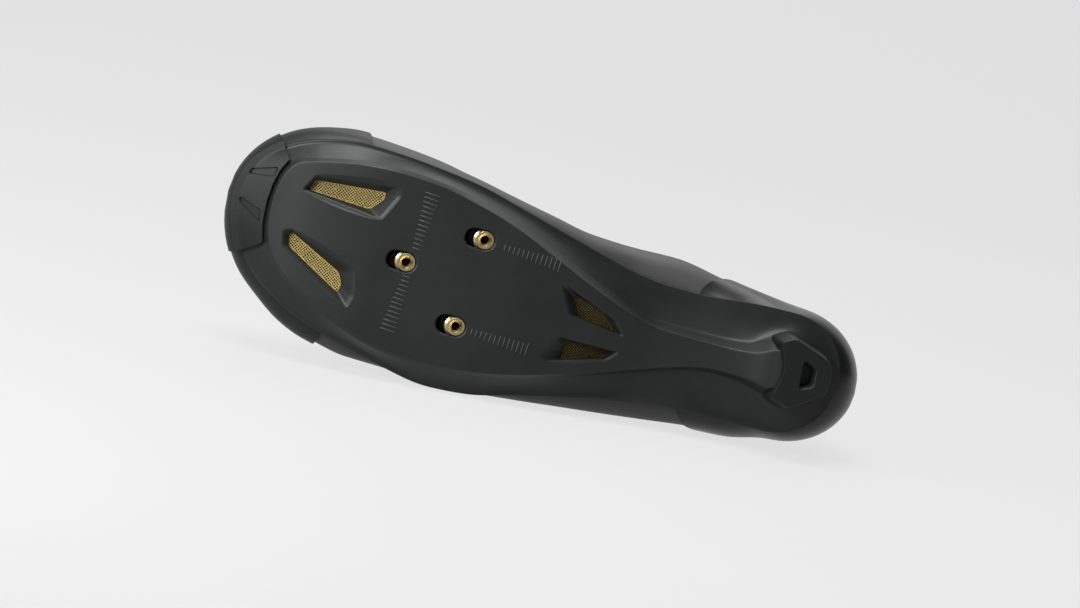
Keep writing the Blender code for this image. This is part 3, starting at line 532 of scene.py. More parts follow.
def shoe_matrix(record: dict) -> Matrix:
    """How the upright shoe lies in the frame, read from the seat of its cleat.

    Args:
        record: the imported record.

    Returns:
        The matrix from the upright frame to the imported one.
    """
    seat = next(mount for mount in record["mounts"] if mount["name"] == "cleat_seat")
    up = -Vector(seat["axis"]).normalized()
    along = -Vector((1.0, 0.0, -up.x / up.z)).normalized()
    across = up.cross(along)
    turned = Matrix((along, across, up)).transposed()
    return Matrix.Translation(Vector(seat["pos_m"]) - turned @ SEAT) @ turned.to_4x4()


# The middle of the cleat's seat on the upright shoe.
SEAT = Vector((0.1865, -0.0046, 0.0025))
LAY = shoe_matrix(frame["record"])
FORM = Last(LastSizes())


class Socket(NamedTuple):
    """An input or output of a node group."""

    name: str
    kind: str
    value: float = 0.0


def new_group(name: str, inputs: Sequence[Socket], outputs: Sequence[Socket]) -> bpy.types.NodeTree:
    """An empty shader node group.

    Args:
        name: its name.
        inputs: its inputs with their defaults.
        outputs: its outputs.

    Returns:
        The node group, with a node named "in" and one named "out".
    """
    tree = bpy.data.node_groups.new(name, "ShaderNodeTree")
    for way, sockets in (("INPUT", inputs), ("OUTPUT", outputs)):
        for socket in sockets:
            made = tree.interface.new_socket(name=socket.name, in_out=way, socket_type=socket.kind)
            if socket.kind == "NodeSocketFloat" and way == "INPUT":
                made.default_value = socket.value
    tree.nodes.new("NodeGroupInput").name = "in"
    tree.nodes.new("NodeGroupOutput").name = "out"
    return tree


class Wiring:
    """Short words for adding and joining the nodes of one tree."""

    def __init__(self, tree: bpy.types.NodeTree) -> None:
        """Take the tree to work on."""
        self.tree = tree

    def add(self, kind: str, **settings: object) -> bpy.types.Node:
        """A node with its properties set."""
        node = self.tree.nodes.new(kind)
        for name, value in settings.items():
            setattr(node, name, value)
        return node

    def feed(self, socket: bpy.types.NodeSocket, value: object) -> None:
        """Join a socket to an output, or set its value."""
        if isinstance(value, bpy.types.NodeSocket):
            self.tree.links.new(value, socket)
        else:
            socket.default_value = value

    def math(self, operation: str, *values: object, clamped: bool = False) -> bpy.types.NodeSocket:
        """Result of a math node."""
        node = self.add("ShaderNodeMath", operation=operation, use_clamp=clamped)
        for socket, value in zip(node.inputs, values):
            self.feed(socket, value)
        return node.outputs[0]

    def noise(self, scale: object, detail: float, rough: float = 0.5) -> bpy.types.NodeSocket:
        """Value of a noise texture on object coordinates."""
        node = self.add("ShaderNodeTexNoise")
        self.feed(node.inputs["Vector"], self.position())
        self.feed(node.inputs["Scale"], scale)
        self.feed(node.inputs["Detail"], detail)
        self.feed(node.inputs["Roughness"], rough)
        return node.outputs["Fac"]

    def cells(self, scale: object, feature: str) -> bpy.types.NodeSocket:
        """Distance of a Voronoi texture on object coordinates."""
        node = self.add("ShaderNodeTexVoronoi", feature=feature)
        self.feed(node.inputs["Vector"], self.position())
        self.feed(node.inputs["Scale"], scale)
        return node.outputs["Distance"]

    def position(self) -> bpy.types.NodeSocket:
        """Object coordinates, which are the frame's own."""
        return self.add("ShaderNodeTexCoord").outputs["Object"]

    def spread(
        self, value: object, low: float, high: float, start: float, end: float
    ) -> bpy.types.NodeSocket:
        """A value mapped from one range onto another, and held there."""
        node = self.add("ShaderNodeMapRange")
        for socket, item in zip(node.inputs, (value, low, high, start, end)):
            self.feed(socket, item)
        return node.outputs[0]


def grain_group() -> bpy.types.NodeTree:
    """Pebbled skin: rounded cells under finer ones, and slow changes of tone."""
    tree = new_group(
        "skin_grain",
        [Socket("Scale", "NodeSocketFloat", 900.0), Socket("Patches", "NodeSocketFloat", 40.0)],
        [Socket("Height", "NodeSocketFloat"), Socket("Tone", "NodeSocketFloat")],
    )
    w = Wiring(tree)
    start, end = tree.nodes["in"], tree.nodes["out"]
    coarse = w.cells(start.outputs["Scale"], "SMOOTH_F1")
    fine = w.noise(w.math("MULTIPLY", start.outputs["Scale"], 2.7), 3.0)
    height = w.math("ADD", w.math("MULTIPLY", coarse, 0.8), w.math("MULTIPLY", fine, 0.5))
    w.feed(end.inputs["Height"], height)
    w.feed(end.inputs["Tone"], w.spread(w.noise(start.outputs["Patches"], 4.0), 0.3, 0.7, 0.0, 1.0))
    return tree


def speckle_group() -> bpy.types.NodeTree:
    """Moulded surface: a fine texture from the tool, with a few faint flow marks."""
    tree = new_group(
        "mould_texture",
        [Socket("Scale", "NodeSocketFloat", 2500.0), Socket("Patches", "NodeSocketFloat", 25.0)],
        [Socket("Height", "NodeSocketFloat"), Socket("Tone", "NodeSocketFloat")],
    )
    w = Wiring(tree)
    start, end = tree.nodes["in"], tree.nodes["out"]
    w.feed(end.inputs["Height"], w.noise(start.outputs["Scale"], 2.0))
    patches = w.noise(start.outputs["Patches"], 5.0, 0.6)
    w.feed(end.inputs["Tone"], w.spread(patches, 0.3, 0.7, 0.0, 1.0))
    return tree


def weave_group() -> bpy.types.NodeTree:
    """Plain weave on the piece's own map: warp over weft, and the shade between threads."""
    tree = new_group(
        "weave",
        [Socket("Pitch", "NodeSocketFloat", 1.0)],
        [Socket("Height", "NodeSocketFloat"), Socket("Tone", "NodeSocketFloat")],
    )
    w = Wiring(tree)
    start, end = tree.nodes["in"], tree.nodes["out"]
    split = w.add("ShaderNodeSeparateXYZ")
    w.feed(split.inputs[0], w.add("ShaderNodeUVMap", uv_map=MAP_NAME).outputs["UV"])
    waves = []
    for axis in ("X", "Y"):
        turn = w.math("MULTIPLY", start.outputs["Pitch"], 2.0 * math.pi)
        waves.append(w.math("SINE", w.math("MULTIPLY", split.outputs[axis], turn)))
    crossing = w.math("MULTIPLY", waves[0], waves[1])
    height = w.math("ADD", w.math("MULTIPLY", crossing, 0.5), 0.5)
    w.feed(end.inputs["Height"], height)
    # Tone follows the height, so the low places between threads get painted shade.
    w.feed(end.inputs["Tone"], w.spread(height, 0.2, 0.7, 0.0, 1.0))
    return tree


MAP_NAME = "plan"


class Relief(Enum):
    """The surface textures that a finish may have."""

    GRAIN = "grain"
    MOULD = "mould"
    WEAVE = "weave"


@dataclass(frozen=True)
class Pinholes:
    """Rows of pinholes along the sides of the upper, in metres on its map.

    Attributes:
        pitch: from hole to hole along the shoe, and up it.
        radius: of a hole, and of its soft edge.
        along: where the rows start and end along the shoe.
        height: where they start and end above the rim.
        fade: how soft each of those two ranges is at its ends.
    """

    pitch: tuple[float, float] = (0.0048, 0.0030)
    radius: tuple[float, float] = (0.00055, 0.00078)
    along: tuple[float, float] = (0.0780, 0.1470)
    height: tuple[float, float] = (0.0148, 0.0302)
    fade: tuple[float, float] = (0.0005, 0.0004)

    def mask(self, w: Wiring) -> bpy.types.NodeSocket:
        """Mask of the pinholes.

        Args:
            w: the material's wiring.

        Returns:
            A mask that is 1 inside a pinhole.
        """
        split = w.add("ShaderNodeSeparateXYZ")
        w.feed(split.inputs[0], w.add("ShaderNodeUVMap", uv_map=MAP_NAME).outputs["UV"])
        places = (split.outputs["X"], split.outputs["Y"])
        squares = []
        for place, pitch in zip(places, self.pitch):
            cell = w.math("FRACT", w.math("DIVIDE", place, pitch))
            offset = w.math("MULTIPLY", w.math("SUBTRACT", cell, 0.5), pitch)
            squares.append(w.math("POWER", offset, 2.0))
        away = w.math("SQRT", w.math("ADD", *squares))
        mask = w.spread(away, *self.radius, 1.0, 0.0)
        for place, (start, end), fade in zip(places, (self.along, self.height), self.fade):
            mask = w.math("MULTIPLY", mask, w.spread(place, start, start + fade, 0.0, 1.0))
            mask = w.math("MULTIPLY", mask, w.spread(place, end - fade, end, 1.0, 0.0))
        return mask


PINHOLES = Pinholes()


@dataclass(frozen=True)
class Finish:
    """How a piece's surface looks. Colours are linear, and lengths are in metres.

    Attributes:
        name: name of the material.
        light: its colour where it is lightest.
        dark: its colour in patches, and the painted shade between the threads of a weave.
        roughness: how matt it is.
        relief: which texture it has.
        scale: how fine the texture is, per metre.
        depth: how deep the texture is.
        metallic: 1 for metal.
        coat: weight of a clear coat.
        sheen: weight of soft sheen, as on cloth.
        pores: whether rows of pinholes are drawn on the piece's own map, each painted near-black as painted
            shade inside the hole.
        specular: level of the plain reflection.
    """

    name: str
    light: tuple[float, float, float]
    dark: tuple[float, float, float]
    roughness: float
    relief: Relief
    scale: float
    depth: float
    metallic: float = 0.0
    coat: float = 0.0
    sheen: float = 0.0
    pores: bool = False
    specular: float = 0.5

    def material(self, groups: dict[Relief, bpy.types.NodeTree]) -> bpy.types.Material:
        """Build the material.

        Args:
            groups: the shared textures.

        Returns:
            A material that puts its texture into colour, roughness and bump.
        """
        material = bpy.data.materials.new(self.name)
        material.use_nodes = True
        w = Wiring(material.node_tree)
        shader = material.node_tree.nodes["Principled BSDF"]
        relief = w.add("ShaderNodeGroup", node_tree=groups[self.relief])
        w.feed(relief.inputs[0], self.scale)
        colour = w.add("ShaderNodeMix", data_type="RGBA")
        w.feed(colour.inputs["Factor"], relief.outputs["Tone"])
        w.feed(colour.inputs[6], (*self.dark, 1.0))
        w.feed(colour.inputs[7], (*self.light, 1.0))
        shade, height = colour.outputs[2], relief.outputs["Height"]
        if self.pores:
            # Pinholes are real perforations; their near-black colour is painted shade inside each hole.
            holes = PINHOLES.mask(w)
            pored = w.add("ShaderNodeMix", data_type="RGBA")
            w.feed(pored.inputs["Factor"], holes)
            w.feed(pored.inputs[6], shade)
            w.feed(pored.inputs[7], (0.004, 0.004, 0.004, 1.0))
            shade = pored.outputs[2]
            height = w.math("SUBTRACT", height, w.math("MULTIPLY", holes, 6.0))
        w.feed(shader.inputs["Base Color"], shade)
        spread = w.math("MULTIPLY", w.math("SUBTRACT", relief.outputs["Tone"], 0.5), 0.12)
        w.feed(shader.inputs["Roughness"], w.math("ADD", spread, self.roughness, clamped=True))
        shader.inputs["Metallic"].default_value = self.metallic
        shader.inputs["Specular IOR Level"].default_value = self.specular
        shader.inputs["Coat Weight"].default_value = self.coat
        shader.inputs["Coat Roughness"].default_value = 0.25
        shader.inputs["Sheen Weight"].default_value = self.sheen
        raised = w.add("ShaderNodeBump")
        raised.inputs["Distance"].default_value = self.depth
        raised.inputs["Strength"].default_value = 1.0
        w.feed(raised.inputs["Height"], height)
        w.feed(shader.inputs["Normal"], raised.outputs["Normal"])
        return material


class Finishes:
    """Every finish of the shoe, as materials by name."""

    TABLE = (
        Finish(
            "sole_composite", (0.0165, 0.0174, 0.0174), (0.0112, 0.0120, 0.0120),
            0.40, Relief.MOULD, 2600.0, 0.00003, specular=0.20,
        ),
        Finish(
            "marks_composite", (0.046, 0.047, 0.047), (0.034, 0.035, 0.035),
            0.42, Relief.MOULD, 2600.0, 0.00002, specular=0.30,
        ),
        Finish(
            "upper_leather", (0.036, 0.036, 0.0365), (0.027, 0.027, 0.0275),
            0.52, Relief.GRAIN, 1500.0, 0.00005, pores=True, specular=0.28,
        ),
        Finish(
            "lining_cloth", (0.022, 0.022, 0.023), (0.010, 0.010, 0.011),
            0.90, Relief.GRAIN, 2600.0, 0.00012, sheen=0.3, specular=0.2,
        ),
        Finish(
            "tongue_cloth", (0.030, 0.030, 0.031), (0.012, 0.012, 0.012),
            0.88, Relief.WEAVE, 700.0, 0.00020, sheen=0.3, specular=0.2,
        ),
        Finish(
            "toe_rubber", (0.0125, 0.0132, 0.0132), (0.0092, 0.0097, 0.0097),
            0.45, Relief.MOULD, 1800.0, 0.00004, specular=0.20,
        ),
        Finish(
            "counter_film", (0.0110, 0.0112, 0.0114), (0.0078, 0.0080, 0.0082),
            0.34, Relief.GRAIN, 1800.0, 0.00002, coat=0.08, specular=0.22,
        ),
        Finish(
            "rubber", (0.0090, 0.0096, 0.0096), (0.0060, 0.0065, 0.0065),
            0.48, Relief.MOULD, 1600.0, 0.00005, specular=0.20,
        ),
        Finish(
            "brass", (0.60, 0.48, 0.29), (0.48, 0.38, 0.22),
            0.28, Relief.MOULD, 3000.0, 0.00001, metallic=1.0,
        ),
        Finish(
            "blackened_steel", (0.020, 0.017, 0.012), (0.010, 0.009, 0.007),
            0.45, Relief.MOULD, 3000.0, 0.00001, metallic=1.0,
        ),
        Finish(
            "gold_thread", (0.56, 0.42, 0.13), (0.30, 0.22, 0.07),
            0.60, Relief.MOULD, 5000.0, 0.00004, sheen=0.2, specular=0.3,
        ),
        # The gold thread again, darker: painted shade for the rear vent panels.
        Finish(
            "painted_shade_thread", (0.085, 0.062, 0.018), (0.040, 0.029, 0.009),
            0.65, Relief.MOULD, 5000.0, 0.00004, specular=0.2,
        ),
        Finish(
            "strap_web", (0.040, 0.040, 0.041), (0.018, 0.018, 0.019),
            0.72, Relief.WEAVE, 900.0, 0.00018, sheen=0.15, specular=0.3,
        ),
        Finish(
            "thread", (0.050, 0.050, 0.052), (0.030, 0.030, 0.031),
            0.65, Relief.MOULD, 5000.0, 0.00003, sheen=0.2, specular=0.3,
        ),
    )

    def __init__(self) -> None:
        """Build the shared textures and every material."""
        groups = {
            Relief.GRAIN: grain_group(),
            Relief.MOULD: speckle_group(),
            Relief.WEAVE: weave_group(),
        }
        self.made = {finish.name: finish.material(groups) for finish in self.TABLE}

    def __getitem__(self, name: str) -> bpy.types.Material:
        """The material of this name."""
        return self.made[name]


def grid_sheet(patches: Iterable[tuple[int, int, Place]]) -> bmesh.types.BMesh:
    """One surface made of grids whose points are joined where they meet.

    Args:
        patches: rows, columns and the place of each point, for each grid.

    Returns:
        The surface.
    """
    mesh = bmesh.new()
    for rows, columns, place in patches:
        before = len(mesh.verts)
        bmesh.ops.create_grid(mesh, x_segments=columns - 1, y_segments=rows - 1, size=1.0)
        mesh.verts.ensure_lookup_table()
        for index in range(before, len(mesh.verts)):
            mesh.verts[index].co = place(*divmod(index - before, columns))
    bmesh.ops.remove_doubles(mesh, verts=mesh.verts, dist=WELD)
    bmesh.ops.recalc_face_normals(mesh, faces=mesh.faces)
    return mesh


def face_away(mesh: bmesh.types.BMesh, middle: Vector) -> None:
    """Turn an open surface so that its faces look away from a point inside it."""
    mesh.normal_update()
    outward = 0.0
    for face in mesh.faces:
        outward += (face.calc_center_median() - middle).dot(face.normal) * face.calc_area()
    if outward < 0.0:
        bmesh.ops.reverse_faces(mesh, faces=mesh.faces)


def swell(mesh: bmesh.types.BMesh, distance: float) -> None:
    """Move every point of a surface outwards."""
    mesh.normal_update()
    moved = [(vertex, vertex.co + vertex.normal * distance) for vertex in mesh.verts]
    for vertex, place in moved:
        vertex.co = place


def map_plan(mesh: bmesh.types.BMesh, place: Callable[[Vector], tuple[float, float]]) -> None:
    """Write the map that woven and pored finishes read.

    Args:
        mesh: the surface, in the upright frame.
        place: the two map coordinates of a point, in metres.
    """
    layer = mesh.loops.layers.uv.new(MAP_NAME)
    for face in mesh.faces:
        for loop in face.loops:
            loop[layer].uv = place(loop.vert.co)


def plan_of(point: Vector) -> tuple[float, float]:
    """Map coordinates seen from under the sole."""
    return point.x, point.y


def side_of(point: Vector) -> tuple[float, float]:
    """Map coordinates seen from the side of the upper: along, and height above the rim."""
    x = clamp(point.x, FORM.sizes.sole_back, FORM.sizes.sole_length)
    side = Side.INNER if point.y > 0.0 else Side.OUTER
    return point.x, point.z - FORM.sided("sole", "rise", side, x)


def prism(points: Sequence[tuple[float, float]], low: float, high: float) -> bmesh.types.BMesh:
    """Upright block over a plan outline."""
    mesh = bmesh.new()
    face = mesh.faces.new([mesh.verts.new((x, y, low)) for x, y in points])
    risen = bmesh.ops.extrude_face_region(mesh, geom=[face])["geom"]
    for item in risen:
        if isinstance(item, bmesh.types.BMVert):
            item.co.z = high
    bmesh.ops.recalc_face_normals(mesh, faces=mesh.faces)
    return mesh


def lofted(loops: Sequence[Sequence[Vector]]) -> bmesh.types.BMesh:
    """Closed solid through outlines of the same number of points."""
    count = len(loops[0])
    mesh = grid_sheet([(len(loops), count + 1, lambda row, column: loops[row][column % count])])
    bmesh.ops.holes_fill(mesh, edges=mesh.edges, sides=0)
    bmesh.ops.recalc_face_normals(mesh, faces=mesh.faces)
    return mesh


def rounded_outline(corners: Sequence[Vector], radius: float, steps: int = 4) -> list[Vector]:
    """An outline whose corners are rounded.

    Args:
        corners: the corners in order.
        radius: how far along each side the rounding starts.
        steps: points in each rounding.

    Returns:
        The points of the rounded outline.
    """
    points = []
    for index, corner in enumerate(corners):
        before, after = corners[index - 1], corners[(index + 1) % len(corners)]
        start = corner + (before - corner) * min(radius / (before - corner).length, 0.45)
        end = corner + (after - corner) * min(radius / (after - corner).length, 0.45)
        for step in range(steps + 1):
            t = step / steps
            points.append((start.lerp(corner, t)).lerp(corner.lerp(end, t), t))
    return points


def offset_outline(loop: Sequence[Vector], distance: float) -> list[Vector]:
    """An outline moved outwards in plan by a distance, or inwards if it is negative."""
    area = sum(a.x * b.y - b.x * a.y for a, b in zip(loop, list(loop[1:]) + [loop[0]]))
    turn = 1.0 if area > 0.0 else -1.0
    moved = []
    for index, point in enumerate(loop):
        run = loop[(index + 1) % len(loop)] - loop[index - 1]
        normal = Vector((run.y, -run.x, 0.0)).normalized() * turn
        moved.append(point + normal * distance)
    return moved


@dataclass
class Workshop:
    """Turns finished meshes into pieces that ride on the shoe."""

    finishes: Finishes
    pieces: list[bpy.types.Object] = field(default_factory=list)

    def helper(self, name: str, mesh: bmesh.types.BMesh) -> bpy.types.Object:
        """A hidden shape that only cuts other pieces."""
        bmesh.ops.transform(mesh, matrix=LAY, verts=mesh.verts)
        data = bpy.data.meshes.new(name)
        mesh.to_mesh(data)
        mesh.free()
        piece = bpy.data.objects.new(name, data)
        bpy.context.scene.collection.objects.link(piece)
        piece.hide_render = True
        piece.hide_viewport = True
        piece.display_type = "WIRE"
        return piece

    def piece(
        self,
        name: str,
        mesh: bmesh.types.BMesh,
        finish: str,
        slot: Slot,
        nodes: Sequence[str] = (),
        sharp: float = 40.0,
    ) -> bpy.types.Object:
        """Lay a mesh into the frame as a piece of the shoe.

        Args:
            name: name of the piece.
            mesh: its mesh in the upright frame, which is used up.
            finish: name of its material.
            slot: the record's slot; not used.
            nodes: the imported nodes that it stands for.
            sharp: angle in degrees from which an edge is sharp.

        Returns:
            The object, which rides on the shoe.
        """
        if MAP_NAME not in mesh.loops.layers.uv:
            map_plan(mesh, plan_of)
        bmesh.ops.transform(mesh, matrix=LAY, verts=mesh.verts)
        data = bpy.data.meshes.new(name)
        mesh.to_mesh(data)
        mesh.free()
        data.materials.append(self.finishes[finish])
        data.shade_smooth()
        data.set_sharp_from_angle(angle=math.radians(sharp))
        made = bpy.data.objects.new(name, data)
        bpy.context.scene.collection.objects.link(made)
        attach(made, "root")
        if nodes:
            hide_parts(*nodes)
        self.pieces.append(made)
        LOG.info("made %s", name)
        return made

    @staticmethod
    def cut(piece: bpy.types.Object, tool: bpy.types.Object, operation: str = "DIFFERENCE") -> None:
        """Cut a piece by a helper, or keep only what lies inside it."""
        modifier = piece.modifiers.new(tool.name, "BOOLEAN")
        modifier.operation = operation
        modifier.solver = "MANIFOLD"
        modifier.object = tool

    @staticmethod
    def thicken(piece: bpy.types.Object, thickness: float, offset: float) -> bpy.types.Modifier:
        """Give a surface its wall."""
        modifier = piece.modifiers.new("wall", "SOLIDIFY")
        modifier.thickness = thickness
        modifier.offset = offset
        modifier.use_even_offset = True
        return modifier

    @staticmethod
    def smooth(piece: bpy.types.Object, levels: int) -> None:
        """Subdivide a piece's surface."""
        modifier = piece.modifiers.new("smooth", "SUBSURF")
        modifier.levels = modifier.render_levels = levels

    @staticmethod
    def soften(piece: bpy.types.Object, width: float, angle: float = 35.0, segments: int = 3) -> None:
        """Round a piece's edges."""
        modifier = piece.modifiers.new("edges", "BEVEL")
        modifier.width = width
        modifier.segments = segments
        modifier.limit_method = "ANGLE"
        modifier.angle_limit = math.radians(angle)

    @staticmethod
    def even(piece: bpy.types.Object) -> None:
        """Shade broad faces flat up to the fine ones along their edges."""
        modifier = piece.modifiers.new("shading", "WEIGHTED_NORMAL")
        modifier.keep_sharp = True


VENTS = {
    "vent_mesh_front_inner": (
        ((0.908, 0.160), (0.900, 0.165)),
        ((0.895, 0.235), (0.892, 0.216)),
        ((0.771, 0.289), (0.786, 0.250)),
        ((0.765, 0.253), (0.785, 0.216)),
        ((0.784, 0.124), (0.803, 0.153)),
    ),
    "vent_mesh_front_outer": (
        ((0.920, -0.048), (0.909, -0.057)),
        ((0.915, -0.110), (0.906, -0.108)),
        ((0.799, -0.304), (0.816, -0.254)),
        ((0.794, -0.246), (0.814, -0.210)),
        ((0.803, -0.131), (0.822, -0.162)),
        ((0.911, -0.031), (0.904, -0.046)),
    ),
    "vent_mesh_rear_inner": (
        ((0.481, 0.075), (0.456, 0.038)),
        ((0.381, -0.024), (0.405, 0.000)),
        ((0.364, -0.079), (0.376, -0.068)),
        ((0.458, -0.052), (0.449, -0.052)),
        ((0.485, 0.066), (0.459, 0.034)),
    ),
    "vent_mesh_rear_outer": (
        ((0.485, -0.268), (0.453, -0.258)),
        ((0.476, -0.290), (0.449, -0.265)),
        ((0.380, -0.206), (0.381, -0.198)),
        ((0.363, -0.157), (0.376, -0.164)),
        ((0.467, -0.165), (0.452, -0.178)),
    ),
}


class MarkRow(NamedTuple):
    """A row of index marks: its first mark, the run to its last, and how long they are."""

    x: float
    y: float
    run_x: float
    run_y: float
    shortest: float
    longest: float
    lengthwise: bool


MARK_ROWS = (
    MarkRow(0.1995, 0.0022, 0.0005, 0.0240, 0.0035, 0.0068, True),
    MarkRow(0.1995, -0.0104, 0.0005, -0.0240, 0.0035, 0.0068, True),
    MarkRow(0.1635, 0.0145, -0.0252, 0.0000, 0.0026, 0.0054, False),
    MarkRow(0.1655, -0.0240, -0.0252, 0.0000, 0.0026, 0.0054, False),
)


@dataclass
class Sole:
    """The moulded sole with its vents, slots and index marks."""

    shop: Workshop
    stations: int = 64
    bed_lift: float = 0.0009
    vent_depth: float = 0.004
    vent_round: float = 0.0013
    lip: float = 0.0009
    rear_turn: float = 2.0
    plan_turn: float = 3.0
    mesh_pitch: float = 0.00095
    mesh_turn: float = 38.0
    thread: float = 0.00052
    slot_width: float = 0.0083
    slot_travel: float = 0.0047
    mark_width: float = 0.00055
    mark_rise: float = 0.00022
    mark_bevel: float = 0.00012
    mark_count: int = 13
    nut_station: float = 0.1725
    nut_axis: float = -0.0046
    nut_run: float = 0.029
    nut_spread: float = 0.0388

    def nuts(self) -> list[tuple[str, Vector]]:
        """Name and place of each nut: one in front and two behind, turned a little with the foot."""
        half = self.nut_spread / 2.0
        places = (
            ("cleat_nut_front", self.nut_run, 0.0),
            ("cleat_nut_inner", 0.0, half),
            ("cleat_nut_outer", 0.0, -half),
        )
        start = Vector((self.nut_station, self.nut_axis, 0.0))
        return [(name, self.turned(start + Vector((x, y, 0.0)), self.plan_turn)) for name, x, y in places]

    def cage(self) -> bmesh.types.BMesh:
        """The sole's closed surface, with rows held close to each edge that stays crisp."""
        s = FORM.sizes
        rows = []
        for index in range(self.stations + 1):
            share = station(index, self.stations)
            under = {side: FORM.under_points(share, side) for side in Side}
            for side in Side:
                edge, lip, middle, foot, face = under[side]
                inner_face = FORM.plate_point(share, side, 1.5 * s.plate_bevel, 0.0)
                under[side] = [
                    edge,
                    edge.lerp(lip, 0.45),
                    lip,
                    lip.lerp(middle, 0.35) + Vector((0.0, 0.0, 0.4 * FORM.sole["dish"](middle.x))),
                    middle,
                    middle.lerp(foot, 0.7),
                    foot,
                    foot.lerp(face, 0.2),
                    foot.lerp(face, 0.9),
                    face,
                    inner_face,
                ]
            inner, outer = under[Side.INNER], under[Side.OUTER]
            face = [outer[-1].lerp(inner[-1], part / 4.0) for part in range(1, 4)]
            over = FORM.bed_points(share, s.ledge, self.bed_lift)
            rims = []
            for side in (Side.INNER, Side.OUTER):
                low = FORM.rim_point(share, side, 0.0, 0.3 * s.rim_lip)
                high = FORM.rim_point(share, side, 0.0, s.rim_lip)
                back = FORM.rim_point(share, side, 0.5 * s.rim_lip, s.rim_lip)
                rims.append([low, high, back])
            rows.append(outer + face + inner[::-1] + rims[0] + over + rims[1][::-1])
        columns = len(rows[0])
        return grid_sheet([(self.stations + 1, columns + 1, lambda row, column: rows[row][column % columns])])

    @staticmethod
    def level(loop: Sequence[Vector], height: float) -> list[Vector]:
        """The same outline, level at a height."""
        return [Vector((point.x, point.y, height)) for point in loop]

    def turned(self, point: Vector, angle: float) -> Vector:
        """A point turned in plan about the middle of the rear nuts."""
        pivot = Vector((self.nut_station, self.nut_axis, 0.0))
        return pivot + Matrix.Rotation(math.radians(angle), 3, "Z") @ (point - pivot)

    def vent_loop(self, name: str, depth: float, grow: float) -> list[Vector]:
        """Outline of a vent at a depth.

        Args:
            name: name of the vent.
            depth: how far above the plate's face, in metres.
            grow: how far the outline is moved outwards.

        Returns:
            Points of the outline in the upright frame.
        """
        s = FORM.sizes
        share = depth / self.vent_depth if depth < self.vent_depth else 1.0
        corners = []
        for (at, side), (mesh_at, mesh_side) in VENTS[name]:
            x = mix(at, mesh_at, share) * s.sole_length
            corner = Vector((x, mix(side, mesh_side, share) * s.sole_width, 0.0))
            corners.append(self.turned(corner, self.rear_turn) if "rear" in name else corner)
        loop = offset_outline(rounded_outline(corners, self.vent_round), grow)
        for point in loop:
            point.z = FORM.sole["plate"](point.x) + depth
        return loop

    def slot_loop(self, x: float, y: float, height: float, grow: float, steps: int = 10) -> list[Vector]:
        """Outline of a nut's slot at a height, moved outwards by grow."""
        radius = self.slot_width / 2.0 + grow
        points = []
        for end, turn in ((x, 0.5), (x + self.slot_travel, 1.5)):
            for step in range(steps + 1):
                angle = math.pi * (turn + step / steps)
                points.append(Vector((end + radius * math.cos(angle), y + radius * math.sin(angle), height)))
        return points

    def build(self) -> None:
        """Make the sole, its nuts, vents and marks."""
        sole = self.shop.piece(
            "outsole_moulding", self.cage(), "sole_composite", Slot.SOLE, ["outsole"], 180.0
        )
        self.shop.smooth(sole, 2)
        for name in VENTS:
            lip = self.lip
            loops = [
                self.level(self.vent_loop(name, -0.0012, 2.2 * lip), -0.01),
                self.vent_loop(name, -0.0012, 2.2 * lip),
                self.vent_loop(name, -0.2 * lip, 1.15 * lip),
                self.vent_loop(name, 0.05 * lip, 0.75 * lip),
                self.vent_loop(name, 0.35 * lip, 0.3 * lip),
                self.vent_loop(name, 0.9 * lip, 0.0),
                self.vent_loop(name, self.vent_depth, 0.0),
                self.level(self.vent_loop(name, self.vent_depth, 0.0), 0.04),
            ]
            self.shop.cut(sole, self.shop.helper(name + "_cut", lofted(loops)))
            self.make_mesh(name)
        for name, place in self.nuts():
            x, y = place.x, place.y
            face = FORM.sole["plate"](x)
            loops = [
                self.slot_loop(x, y, face - 0.001, 0.0016),
                self.slot_loop(x, y, face - 0.00005, 0.00085),
                self.slot_loop(x, y, face + 0.00025, 0.0003),
                self.slot_loop(x, y, face + 0.0008, 0.0),
                self.slot_loop(x, y, face + FAR / 8.0, 0.0),
            ]
            self.shop.cut(sole, self.shop.helper(name + "_slot", lofted(loops)))
            pocket = [self.slot_loop(x, y, z, 0.003) for z in (FORM.sole["bed"](x) - 0.0022, FAR / 8.0)]
            self.shop.cut(sole, self.shop.helper(name + "_pocket", lofted(pocket)))
            self.make_nut(name, x, y)
        self.shop.even(sole)
        self.make_marks()

    def make_nut(self, name: str, x: float, y: float) -> None:
        """A turned brass nut with a threaded bore and a flange on the bed side."""
        low = FORM.sole["plate"](x) + 0.0003
        top = FORM.sole["bed"](x) - 0.0006
        under = top - 0.0013
        bore, mouth, barrel, collar, flange = 0.0018, 0.0027, 0.0039, 0.0049, 0.0065
        profile = [
            (mouth, low + 0.0004),
            (mouth + 0.0002, low),
            (barrel - 0.0002, low),
            (barrel, low + 0.0002),
            (barrel, low + 0.0024),
            (collar - 0.0004, low + 0.0026),
            (collar, low + 0.0030),
            (collar, under),
            (flange, under),
            (flange, top),
            (bore, top),
        ]
        threads = []
        height = top - 0.0004
        while height > low + 0.0018:
            threads += [(bore + 0.0003, height), (bore, height - 0.0004)]
            height -= 0.0008
        profile += threads + [(bore, low + 0.0014), (bore + 0.00015, low + 0.0011)]
        mesh = bmesh.new()
        ring = [mesh.verts.new((out, 0.0, z)) for out, z in profile]
        edges = [mesh.edges.new((ring[index - 1], ring[index])) for index in range(len(ring))]
        bmesh.ops.spin(
            mesh,
            geom=ring + edges,
            cent=(0.0, 0.0, 0.0),
            axis=(0.0, 0.0, 1.0),
            angle=2.0 * math.pi,
            steps=48,
            use_merge=True,
        )
        bmesh.ops.remove_doubles(mesh, verts=mesh.verts, dist=WELD / 4.0)
        bmesh.ops.recalc_face_normals(mesh, faces=mesh.faces)
        bmesh.ops.translate(mesh, vec=(x, y, 0.0), verts=mesh.verts)
        for face in mesh.faces:
            face.material_index = int(face.calc_center_median().z > under - GAP / 3.0)
        nut = self.shop.piece(name + "_turned", mesh, "brass", Slot.BRASS, [name], 30.0)
